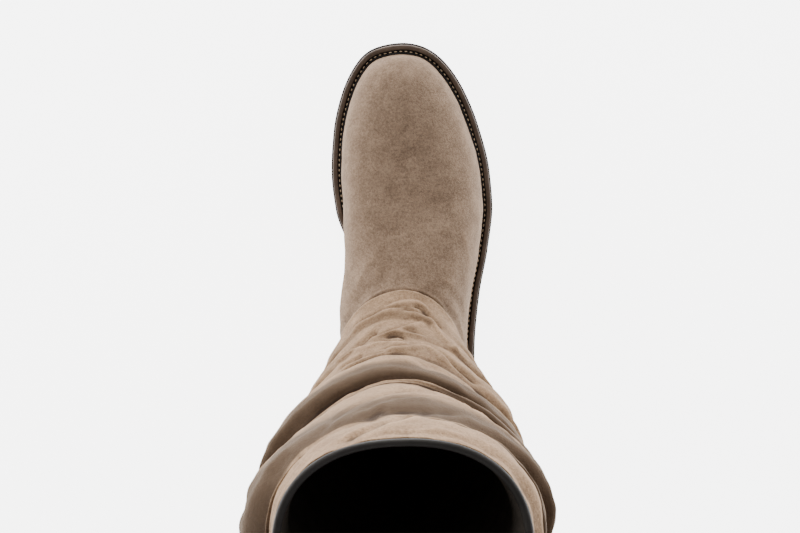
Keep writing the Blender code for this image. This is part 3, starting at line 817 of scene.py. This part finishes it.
def hollowness(piece, rounds):
    """How far each point lies under the mean of its surroundings, in millimetres."""
    return 1000 * ((soft_places(piece, rounds) - places(piece)) * normals(piece)).sum(1)


def fold_rows(piece):
    """Fold number of each point of the shaft, with the share of the way over that fold."""
    return ROWS * kept(piece, "up") / FOLDED


def on_tread(piece):
    """How far each point of the shaft lies on the short upper side of a fold, from 0 to 1."""
    row = fold_rows(piece)
    number = np.clip(row.astype(int), 0, ROWS - 1)
    swell = [fold_swell(FOLDS[n], 2 * math.pi * a) / FOLD_SWELL for n, a in zip(number, kept(piece, "across"))]
    strong = np.clip(np.array(swell) / TREAD_SWELL, 0, 1) * np.where(number < ANKLE_FOLDS, ANKLE_TREAD, 1)
    share = np.clip((row - number - TREAD_START) / TREAD_BLEND, 0, 1)
    in_crease = np.clip(1 - (row - number) / TREAD_FOOT, 0, 1) * (number > ANKLE_FOLDS)
    return np.maximum(share * share * (3 - 2 * share), in_crease) * strong * (row < ROWS - 1)


def ease(piece, share, rounds):
    """Even out a skin where share is 1, and leave it where share is 0."""
    share = share[:, None]
    set_places(piece, places(piece) * (1 - share) + soft_places(piece, rounds) * share)


print("a point on the great fold:", mm(shaft_spot(0, 3.5)), "mm")

# %% [markdown]
# In front two folds are squeezed almost flat between their neighbours. Their rows lie so close
# together that the skin would break there, so it is evened out first.

# %% Waves, treads and hollows on both skins
TREAD_SWELL, ANKLE_TREAD = 0.2, 0.2
TREAD_START, TREAD_BLEND, TREAD_FOOT = 0.42, 0.24, 0.07
SQUEEZED_FOLDS = ((6.5, 0.60), (4.5, 0.55))
SQUEEZED_TO, SQUEEZED_BLEND, SQUEEZED_ROUNDS = 70, 20, 10
FOOT_WAVE, SHAFT_WAVE = 0.0005, 0.0009
BROAD_WAVE, SMALL_WAVE, SMALL_SHARE = 0.016, 0.007, 0.45
HOLLOW_ROUNDS, CREST_ROUNDS, CREST_REACH = 14, 30, 0.006

from_front = 360 * np.abs(kept(shaft, "across") - 0.5)
in_front = np.clip((SQUEEZED_TO - from_front) / SQUEEZED_BLEND, 0, 1)
squeezed = [np.clip(10 * (half - np.abs(fold_rows(shaft) - middle)), 0, 1) for middle, half in SQUEEZED_FOLDS]
ease(shaft, np.maximum(*squeezed) * in_front, SQUEEZED_ROUNDS)
for piece, height, tread in ((foot, FOOT_WAVE, None), (shaft, SHAFT_WAVE, on_tread)):
    wave(piece, BROAD_WAVE, height)
    wave(piece, SMALL_WAVE, height * SMALL_SHARE)
    from_crest = np.linalg.norm(places(piece) - np.array(crest_point(1.0)), axis=1) / CREST_REACH
    ease(piece, np.clip(2 - from_crest, 0, 1), CREST_ROUNDS)
    hollow = hollowness(piece, HOLLOW_ROUNDS) * np.clip(from_crest / 2 - 0.5, 0, 1)
    # The suede finish paints shade in the hollows and on the treads from these values, and partly a highlight on the
    # ridges.
    keep_value(piece, "hollow", hollow)
    keep_value(piece, "tread", tread(piece) if tread else 0 * hollow)
    print(piece.name, "hollows from", round(float(hollow.min()), 2), "to", round(float(hollow.max()), 2), "mm")

# %% [markdown]
# The suede of the shaft is one thin layer. The wall of the foot is suede and lining together, and
# its inner face takes the second material of the piece, the black lining leather.

# %% Thickness of the wall
for name in ("taupe_suede", "lining_black"):
    foot.data.materials.append(bpy.data.materials.new(name))
thicken(foot, WALL, inner=1)
thicken(shaft, SUEDE)
print("foot wall:", 1000 * WALL, "mm, suede of the shaft:", 1000 * SUEDE, "mm")

# %% [markdown]
# Inside the shaft the lining hangs free of the folds, as a smooth black tube. It is held at the
# collar and runs down past the ankle seam.

# %% Lining of the shaft
LINING = 0.0006
LINING_HANG = 0.0080
LINING_PAST_SEAM = 0.006


def lining_place(across, up):
    """Point of the lining tube, close to the wall at the collar and free of it below."""
    angle = 2 * math.pi * across
    free = 1 - soft_step(0.78, 0.96, up)
    point = shaft_point(angle, up, -(WALL - LINING + LINING_HANG * free))
    point.z -= LINING_PAST_SEAM * (1 - soft_step(0.0, 0.15, up))
    return point


lining = fine_grid("shaft_lining", 120, 60, lining_place)
thicken(lining, LINING)
print("lining:", len(lining.data.polygons), "faces")

# %% [markdown]
# ## The heel counter
# A second layer of suede stiffens the heel. It is cut from the foot's own form, so it lies close
# on it, and its front ends run out on a slant.

# %% Counter
COUNTER_SUEDE = 0.0013
COUNTER_SKIVED = 0.0006
COUNTER_TOP = ((0.0, 0.12), (0.7, 0.66), (1.3, 0.95), (3.25, 1.0))


def foot_out(index, up):
    """Direction out of the foot's skin."""
    step = 0.02
    here = foot_spot(index, up)
    around_it = foot_spot(index + step * 5, up) - foot_spot(index - step * 5, up)
    upwards = foot_spot(index, min(1.0, up + step)) - here
    return around_it.cross(upwards).normalized()


def counter_place(across, up):
    """Point of the counter's outer face."""
    index = COUNTER_COLUMNS * (2 * across - 1)
    ends = (COUNTER_COLUMNS - abs(index)) / COUNTER_ROWS
    high = smooth([k for k, _ in COUNTER_TOP], [v for _, v in COUNTER_TOP], ends)
    rise = TURNED_UNDER + (1 - TURNED_UNDER) * up * high * COUNTER_ROWS / FOOT_ROWS
    out = foot_out(index, rise)
    return foot_spot(index, rise) + out * (GAP + COUNTER_THICKNESS - COUNTER_SKIVED * up**8)


counter = fine_grid("suede_counter", 130, 22, counter_place)
for name in ("hollow", "tread"):
    keep_value(counter, name, np.zeros(len(counter.data.vertices)))
thicken(counter, COUNTER_SUEDE)
print("counter:", len(counter.data.polygons), "faces")

# %% [markdown]
# The collar edge is bound with a strip of smooth black leather. It is rolled over the rim and
# turned down inside. Its section is a short table: how deep inside the outer face, and how high
# over the rim, in millimetres.

# %% Collar binding
BINDING = table(
    "name inside height",
    ("on the rim", 0.10, 0.10),
    ("outer roll", -0.05, 0.65),
    ("outer shoulder", 0.45, 1.30),
    ("top of the roll", 1.50, 1.72),
    ("inner shoulder", 2.90, 1.55),
    ("inner roll", 3.85, 0.85),
    ("turned down", 4.20, -0.60),
    ("inside face", 4.25, -4.00),
    ("lower edge", 4.10, -8.00),
    ("edge turned", 3.50, -8.50),
    ("behind it", 2.90, -8.00),
    ("behind the roll", 2.70, -1.00),
    ("under the roll", 2.50, 0.25),
    ("on the rim again", 0.10, 0.10),
)


def round_section(corners, share):
    """How deep inside and how high a section lies at a share of the way along its corners, in metres."""
    place = share * (len(corners) - 1)
    number = min(int(place), len(corners) - 2)
    t = place - number
    return [(a * (1 - t) + b * t) / 1000 for a, b in zip(corners[number][1:], corners[number + 1][1:])]


LEG_LENGTH = SHAFT_HEIGHT - ANKLE_FRONT_HEIGHT


def binding_place(across, up):
    angle = 2 * math.pi * across
    inside, height = round_section(BINDING, up)
    point = shaft_point(angle, min(1.0, 1.0 + height / LEG_LENGTH), -inside)
    point.z += GAP + max(height, 0.0)
    return point


binding = fine_grid("collar_roll", 200, (len(BINDING) - 1) * 2, binding_place)
print("binding:", len(binding.data.polygons), "faces")

# %% [markdown]
# ## The welt
# The welt is a strip of dark leather round the whole sole. Its outer half is flat and brown. Its
# inner half drops into a black groove, where the stitches lie.

# %% Welt
WELT = table(
    "name inside height",
    ("outer foot", 1.00, 0.00),
    ("outer face", 0.95, 1.20),
    ("outer shoulder", 1.05, 2.70),
    ("outer edge", 1.50, 3.25),
    ("flat", 2.40, 3.40),
    ("flat, inner end", 3.50, 3.40),
    ("lip of the groove", 3.95, 3.20),
    ("groove", 4.40, 2.55),
    ("floor of the groove", 5.20, 2.35),
    ("inner wall of the groove", 6.00, 2.70),
    ("rib at the suede", 6.50, 3.20),
    ("rib, inner side", 6.70, 3.00),
    ("inner foot", 6.70, 0.00),
    ("outer foot again", 1.00, 0.00),
)
AROUND = 2 * 210


def welt_place(across, up):
    inside, height = round_section(WELT, up)
    plan = edge(2 * across, inside)
    return Vector((plan.x, plan.y, seat(plan.y) + height))


welt = fine_grid("welt_strip", AROUND, (len(WELT) - 1) * 2, welt_place)
print("welt:", len(welt.data.polygons), "faces")

# %% [markdown]
# Each stitch is a short swelling of thread. One is shaped from a ball, then it is set round the
# welt at a pitch of 3.3 mm.

# %% Stitches
STITCH_PITCH = 0.0033
STITCH_SIZE = (0.00095, 0.00042, 0.00042)
THREAD_INSET = 0.0051
THREAD_HEIGHT = 0.00262
UPWARDS = Vector((0, 0, 1))


def walk(line, pitch):
    """Places at an even pitch along a line of points, each with its direction."""
    found, carried = [], 0.0
    for a, b in zip(line, line[1:]):
        step = b - a
        while carried <= step.length:
            found.append((a + step * (carried / step.length), step.normalized()))
            carried += pitch
        carried -= step.length
    return found


def in_order(loops):
    """The same faces in a fixed order, because the ball's own order changes from run to run."""
    starts = [loop.index(min(loop)) for loop in loops]
    return sorted(loop[start:] + loop[:start] for loop, start in zip(loops, starts))


def stitch_row(name, line):
    """One piece with a stitch at every pitch of a line. Each one is a ball drawn out along it."""
    bpy.ops.object.select_all(action="DESELECT")
    bpy.ops.mesh.primitive_uv_sphere_add(segments=8, ring_count=5, radius=1)
    ball = bpy.context.object
    loops = in_order([list(face.vertices) for face in ball.data.polygons])
    length, width, height = STITCH_SIZE
    points, faces = [], []
    for place, along in walk(line, STITCH_PITCH):
        faces += [[len(points) + corner for corner in loop] for loop in loops]
        side = UPWARDS.cross(along).normalized()
        for x, y, z in (v.co for v in ball.data.vertices):
            points.append(place + along * (x * length) + side * (y * width) + UPWARDS * (z * height))
    bpy.data.objects.remove(ball)
    mesh = bpy.data.meshes.new(name)
    mesh.from_pydata(points, [], faces)
    made = set_down(name, mesh)
    only(made)
    bpy.ops.object.shade_smooth()
    return made


thread_line = []
for i in range(1201):
    plan = edge(i / 600, THREAD_INSET)
    thread_line.append(Vector((plan.x, plan.y, seat(plan.y) + THREAD_HEIGHT)))
welt_stitches = stitch_row("welt_stitches", thread_line)
print("stitches round the welt:", len(walk(thread_line, STITCH_PITCH)))

# %% [markdown]
# ## The sole and the heel
# The outsole is thin rubber with a rounded edge, flat under the forefoot and cut across by the
# tread. The heel is stacked leather on a rubber lift.

# %% Outsole
SOLE_EDGE = table(
    "name inset height",
    ("under the foot", 4.0, 0.0),
    ("start of the rounding", 1.2, 0.0),
    ("rounding", 0.35, 0.35),
    ("edge, low", 0.0, 1.2),
    ("edge, high", 0.0, 4.7),
    ("upper rounding", 0.25, 5.3),
    ("top", 0.8, 5.5),
    ("top, inside", 5.0, 5.5),
)
UNDER_ROWS = 9
TREAD_FROM, TREAD_UNTIL = 0.48, 0.90
GROOVE_DEPTH = 0.0014
BAR_EDGE = 0.003
bars = [SOLE_LENGTH * (1 - math.cos(math.pi * i / SIDE_COLUMNS)) / 2 for i in range(SIDE_COLUMNS)]
bars = [(a, b) for a, b in zip(bars, bars[1:]) if TREAD_FROM < (a + b) / 2 / SOLE_LENGTH < TREAD_UNTIL]
GROOVES = [(a + BAR_EDGE - HEEL_CENTRE, b - BAR_EDGE - HEEL_CENTRE) for a, b in bars[::2]]


def sole_place(across, up):
    """Point of the outsole, from the middle of its underside round the edge to the middle of its top."""
    turn = 2 * across
    rows = len(SOLE_EDGE) + 2 * UNDER_ROWS - 1
    row = round(up * rows)
    number = min(max(row - UNDER_ROWS, 0), len(SOLE_EDGE) - 1)
    layer = SOLE_EDGE[number]
    plan = edge(turn, layer.inset / 1000)
    away = max(UNDER_ROWS - row, row - UNDER_ROWS - len(SOLE_EDGE) + 1, 0) / UNDER_ROWS
    mirror = edge(2 - turn, layer.inset / 1000)
    plan = plan.lerp((plan + mirror) / 2, away)
    height = layer.height / 1000
    if number == 0 and row > 0 and any(low < plan.y < high for low, high in GROOVES):
        height += GROOVE_DEPTH
    return Vector((plan.x, plan.y, underside(plan.y) + height))


outsole = fine_grid("outsole_skin", 420, len(SOLE_EDGE) + 2 * UNDER_ROWS - 1, sole_place)
print("outsole:", len(outsole.data.polygons), "faces")

# %% Heel and lift
HEEL_EDGE = 0.0005
HEEL_AROUND = 0.72
HEEL_STEPS = 7
BREAST_HOLLOW = 0.0015
HEEL_MIDDLE = 0.03


@lru_cache(maxsize=None)
def breast_turn(inset, breast):
    """Turn of the sole's outline at which it reaches the heel breast."""
    low, high = 0.05, 0.8
    for _ in range(30):
        middle = (low + high) / 2
        low, high = (middle, high) if edge(middle, inset).y < breast else (low, middle)
    return low


def heel_point(across, inset, height):
    """Point on the edge of the heel: round the back first, then straight across the breast."""
    breast = HEEL_LENGTH - HEEL_CENTRE - inset
    turn = breast_turn(round(inset, 6), round(breast, 6))
    if across <= HEEL_AROUND:
        plan = edge(turn * (2 * across / HEEL_AROUND - 1), inset)
    else:
        share = (across - HEEL_AROUND) / (1 - HEEL_AROUND)
        plan = edge(turn, inset).lerp(edge(-turn, inset), share)
        plan.y -= BREAST_HOLLOW * math.sin(math.pi * share)
    return Vector((plan.x, plan.y, height))


def heel_block(name, low, high, inset_low, inset_high):
    """One block of the heel with its edges broken by half a millimetre."""
    middle = Vector((edge(0.0, HEEL_MIDDLE).x, 0.0, 0.0))
    rows = [(1.0, inset_low, low), (0.0, inset_low + HEEL_EDGE, low), (0.0, inset_low, low + HEEL_EDGE)]
    for i in range(1, HEEL_STEPS):
        share = i / HEEL_STEPS
        rows.append((0.0, inset_low + (inset_high - inset_low) * share, low + (high - low) * share))
    rows += [(0.0, inset_high, high - HEEL_EDGE), (0.0, inset_high + HEEL_EDGE, high), (1.0, inset_high, high)]

    def place(across, up):
        away, inset, height = rows[round(up * (len(rows) - 1))]
        return heel_point(across, inset, height).lerp(middle + Vector((0, 0, height)), away)

    return fine_grid(name, 150, len(rows) - 1, place)


low_inset = HEEL_INSET + HEEL_TAPER
lift = heel_block("heel_lift_skin", 0.0, HEEL_LIFT, low_inset, low_inset)
heel = heel_block("heel_stack", HEEL_LIFT + GAP, HEEL_HEIGHT - GAP, low_inset, HEEL_INSET)
print("heel:", len(heel.data.polygons) + len(lift.data.polygons), "faces")


# %% [markdown]
# ## Finishes
# Materials are built from sums of sockets. One small class stands for the output of a node, so
# a finish reads like arithmetic.

# %% Sockets that add and multiply
class Socket:
    """Output of a node inside a material, with the usual arithmetic."""

    def __init__(self, tree, output):
        self.tree, self.output = tree, output

    def maths(self, operation, *others):
        node = self.tree.nodes.new("ShaderNodeMath")
        node.operation = operation
        for place, value in zip(node.inputs, (self,) + others):
            feed(self.tree, place, value)
        return Socket(self.tree, node.outputs[0])

    def __add__(self, other):
        return self.maths("ADD", other)

    def __mul__(self, other):
        return self.maths("MULTIPLY", other)

    def __sub__(self, other):
        return self.maths("SUBTRACT", other)

    def between(self, low, high):
        """Rises softly from 0 at low to 1 at high."""
        node = self.tree.nodes.new("ShaderNodeMapRange")
        node.interpolation_type = "SMOOTHSTEP"
        for place, value in zip(node.inputs, (self, low, high, 0.0, 1.0)):
            feed(self.tree, place, value)
        return Socket(self.tree, node.outputs[0])


def feed(tree, place, value):
    """Link a socket to an input, or set the input's own value."""
    if isinstance(value, Socket):
        tree.links.new(value.output, place)
    else:
        place.default_value = value


class Finish:
    """A material under construction."""

    def __init__(self, name):
        self.material = bpy.data.materials.new(name)
        self.material.use_nodes = True
        self.tree = self.material.node_tree
        self.shader = self.tree.nodes["Principled BSDF"]

    def node(self, kind, settings=None, output=0, **sockets):
        """Any node: its settings first, then its sockets by name, with spaces as underscores."""
        node = self.tree.nodes.new(kind)
        for name, value in (settings or {}).items():
            setattr(node, name, value)
        for name, value in sockets.items():
            feed(self.tree, node.inputs[name.replace("_", " ")], value)
        return Socket(self.tree, node.outputs[output])

    def spot(self):
        """Place on the boot, in metres."""
        return self.node("ShaderNodeTexCoord", output="Object")

    def cloud(self, size, detail=2.0, rough=0.5):
        """Noise with blotches of about one size, in metres, as a number near 0.5."""
        return self.node("ShaderNodeTexNoise", Vector=self.spot(), Scale=0.5 / size, Detail=detail, Roughness=rough)

    def value(self, name):
        """A number that the mesh keeps for each vertex."""
        return self.node("ShaderNodeAttribute", {"attribute_name": name}, output="Fac")

    def mix(self, share, first, second):
        """Colour between two colours."""
        node = self.tree.nodes.new("ShaderNodeMix")
        node.data_type = "RGBA"
        for place, value in ((0, share), (6, first), (7, second)):
            feed(self.tree, node.inputs[place], value)
        return Socket(self.tree, node.outputs[2])

    def bump(self, height, distance, strength):
        return self.node("ShaderNodeBump", Height=height, Distance=distance, Strength=strength)

    def set(self, **sockets):
        for name, value in sockets.items():
            feed(self.tree, self.shader.inputs[name.replace("_", " ")], value)
        return self.material


print("finish tools ready")

# %% [markdown]
# Suede is the flesh side of the hide, sanded to a short nap. The nap shows as soft blotches,
# lighter where it is brushed up. It glows at a grazing look, which a sheen gives.

# %% Suede
# Ridge colour for rubbed nap and a painted highlight; the two shades below are painted shade.
RUBBED_AND_HIGHLIT = (0.42, 0.275, 0.170, 1)
TREAD_SHADE = (0.040, 0.024, 0.014, 1)
HOLLOW_SHADE = (0.022, 0.012, 0.007, 1)
GLOW = (0.95, 0.76, 0.58, 1)


def suede_finish(name, dark, light):
    """Nap and blotches, lighter on ridges for rubbed nap and a painted highlight, and darker on the treads and in
    the hollows with painted shade.
    """
    suede = Finish(name)
    large = suede.cloud(0.016, 2.0)
    patch = suede.cloud(0.0045, 3.0, 0.6)
    fine = suede.cloud(0.0008, 3.0, 0.75)
    nap = suede.cloud(0.0003, 2.0, 0.7)
    tone = (large - 0.5) * 0.35 + (patch - 0.5) * 0.8 + (fine - 0.5) * 1.6 + (nap - 0.5) * 1.2 + 0.5
    colour = suede.mix(tone.between(-0.1, 1.1), (*dark, 1), (*light, 1))
    hollow = suede.value("hollow")
    # Ridges: partly rubbed nap, partly a painted highlight.
    colour = suede.mix(hollow.between(-0.1, -1.2) * 0.25, colour, RUBBED_AND_HIGHLIT)
    # Painted shade on the upper sides of the folds and just above their creases.
    colour = suede.mix(suede.value("tread") * 0.92, colour, TREAD_SHADE)
    # Painted shade in the creases and hollows.
    colour = suede.mix(hollow.between(0.1, 1.25) * 0.9, colour, HOLLOW_SHADE)
    grain = suede.bump(fine + nap * 0.8 + patch * 1.2, 0.0004, 0.7)
    suede.set(Sheen_Weight=0.10, Sheen_Roughness=0.45, Sheen_Tint=GLOW, Specular_IOR_Level=0.15)
    return suede.set(Base_Color=colour, Roughness=0.95, Normal=grain)


FOOT_SUEDE = suede_finish("foot_suede", (0.108, 0.070, 0.046), (0.250, 0.172, 0.116))
SHAFT_SUEDE = suede_finish("shaft_suede", (0.116, 0.070, 0.040), (0.270, 0.174, 0.104))
print("suede nodes:", len(FOOT_SUEDE.node_tree.nodes))

# %% [markdown]
# The smooth leathers differ in colour and gloss: the welt is a dark waxed brown, the collar and
# the lining are black with a soft sheen. The rubber is matt.

# %% Leather and rubber
GROOVE_BLACK = (0.007, 0.005, 0.004, 1)
LAYER_LINE = (0.010, 0.007, 0.005, 1)


def leather_finish(name, dark, light, roughness, grain_size, coat=0.0, groove=None, shine=0.5, layers=0):
    """Smooth leather. Past the share groove of its UV map it is black. Layers is their height."""
    leather = Finish(name)
    patch = leather.cloud(0.006, 3.0, 0.6)
    grain = leather.cloud(grain_size, 2.0, 0.6)
    colour = leather.mix(patch.between(0.3, 0.7), (*dark, 1), (*light, 1))
    gloss = (patch - 0.5) * 0.2 + roughness
    if groove:
        weave = leather.node("ShaderNodeUVMap")
        share = leather.node("ShaderNodeSeparateXYZ", output=1, Vector=weave)
        inside = share.between(groove - 0.02, groove + 0.02)
        colour = leather.mix(inside, colour, GROOVE_BLACK)
        gloss = gloss + inside * 0.3
    if layers:
        height = leather.node("ShaderNodeSeparateXYZ", output=2, Vector=leather.spot())
        line = (height * (2 * math.pi / layers)).maths("SINE").between(0.90, 0.99)
        colour = leather.mix(line * 0.7, colour, LAYER_LINE)
    leather.set(Specular_IOR_Level=shine, Coat_Weight=coat, Coat_Roughness=0.3)
    return leather.set(Base_Color=colour, Roughness=gloss, Normal=leather.bump(grain, 0.0002, 0.4))


LOOKS = {
    "welt": leather_finish(
        "welt_brown", (0.062, 0.043, 0.031), (0.098, 0.069, 0.051), 0.60, 0.0006, 0.05, groove=0.46, shine=0.25
    ),
    "collar": leather_finish(
        "collar_black", (0.017, 0.014, 0.012), (0.026, 0.022, 0.019), 0.55, 0.0008, shine=0.4
    ),
    "lining": leather_finish("lining_black", (0.090, 0.074, 0.060), (0.130, 0.105, 0.088), 0.65, 0.0008),
    "rubber": leather_finish(
        "sole_brown", (0.026, 0.020, 0.018), (0.040, 0.031, 0.027), 0.75, 0.0005, shine=0.15
    ),
    "heel": leather_finish(
        "heel_brown", (0.034, 0.023, 0.018), (0.052, 0.036, 0.028), 0.60, 0.0006, shine=0.2, layers=0.0034
    ),
    "thread": leather_finish("thread_beige", (0.30, 0.22, 0.14), (0.42, 0.32, 0.21), 0.7, 0.0003),
}
print("finishes:", ", ".join(LOOKS))


def wear(piece, look, inner=None):
    """Give a piece its finish, and a second one for its inner face."""
    if inner:
        piece.data.materials[0], piece.data.materials[1] = look, inner
    else:
        piece.data.materials.clear()
        piece.data.materials.append(look)


# %% Put the finishes on
PARTS = table(
    "piece look slot node",
    (foot, FOOT_SUEDE, "suede", "upper"),
    (shaft, SHAFT_SUEDE, "suede", "shaft"),
    (lining, LOOKS["lining"], "lining_leather", None),
    (counter, FOOT_SUEDE, "suede", "counter"),
    (binding, LOOKS["collar"], "lining_leather", "collar_binding"),
    (welt, LOOKS["welt"], "welt_leather", "welt"),
    (welt_stitches, LOOKS["thread"], "welt_leather", None),
    (outsole, LOOKS["rubber"], "sole_rubber", "outsole"),
    (lift, LOOKS["rubber"], "sole_rubber", "heel_lift"),
    (heel, LOOKS["heel"], "heel_stack", "heel"),
)
for part in PARTS:
    in_edit_mode(part.piece, face_outwards)
    wear(part.piece, part.look, LOOKS["lining"] if part.piece is foot else None)
    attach(part.piece, "root")
    if part.node:
        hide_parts(part.node)
wear(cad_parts["insole"], LOOKS["lining"])
print("pieces with a finish:", len(PARTS) + 1)

# %% [markdown]
# ## Floor, light and camera
# A white room without edges: a pale floor, one broad light over the toe and softer ones at the
# sides and behind.

# %% Floor
bpy.ops.object.select_all(action="DESELECT")
bpy.ops.mesh.primitive_plane_add(size=60.0, location=(0, 0, 0))
floor = bpy.context.object
floor.name = "floor"
plain = Finish("pale_floor")
WHITE = (1, 1, 1, 1)
plain.set(Base_Color=(0.90, 0.90, 0.90, 1), Roughness=0.9, Emission_Color=WHITE, Emission_Strength=5.4)
wear(floor, plain.material)

# %% Lights
LAMPS = table(
    "name place aim size power",
    ("over the toe", (-0.2, 1.5, 0.55), (0.0, 0.1, 0.15), 0.7, 24.0),
    ("outer side", (1.3, 0.4, 0.6), (0.0, 0.1, 0.15), 0.8, 10.0),
    ("inner side", (-1.3, 0.4, 0.6), (0.0, 0.1, 0.15), 0.8, 12.5),
    ("behind", (0.0, -1.2, 1.0), (0.0, 0.0, 0.2), 1.0, 3.0),
)
for lamp in LAMPS:
    light = bpy.data.lights.new(lamp.name, "AREA")
    light.size, light.energy = lamp.size, lamp.power
    made = set_down(lamp.name, light)
    made.location = lamp.place
    made.rotation_euler = (Vector(lamp.aim) - Vector(lamp.place)).to_track_quat("-Z", "Y").to_euler()
room = bpy.data.worlds.new("room")
room.use_nodes = True
room.node_tree.nodes["Background"].inputs["Color"].default_value = WHITE
room.node_tree.nodes["Background"].inputs["Strength"].default_value = 0.18
bpy.context.scene.world = room
print("lamps:", len(LAMPS))

# %% Camera
CAMERA_PLACE = Vector((-0.0023, 0.295, 1.10))
CAMERA_LEAN = math.radians(9.9)
CAMERA_ROLL = 0.038
CAMERA_LENS = 77.2
turned = Matrix.Rotation(-CAMERA_ROLL, 3, "Z")
look = turned @ Vector((0, -math.sin(CAMERA_LEAN), -math.cos(CAMERA_LEAN)))
upward = turned @ Vector((0, math.cos(CAMERA_LEAN), -math.sin(CAMERA_LEAN)))
right = turned @ Vector((1, 0, 0))
lens = bpy.data.cameras.new("camera")
lens.lens = CAMERA_LENS
camera = set_down("camera", lens)
camera.matrix_world = Matrix.LocRotScale(CAMERA_PLACE, Matrix((right, upward, -look)).transposed(), None)
bpy.context.scene.camera = camera
print("camera looks down from", CAMERA_PLACE.z, "m")
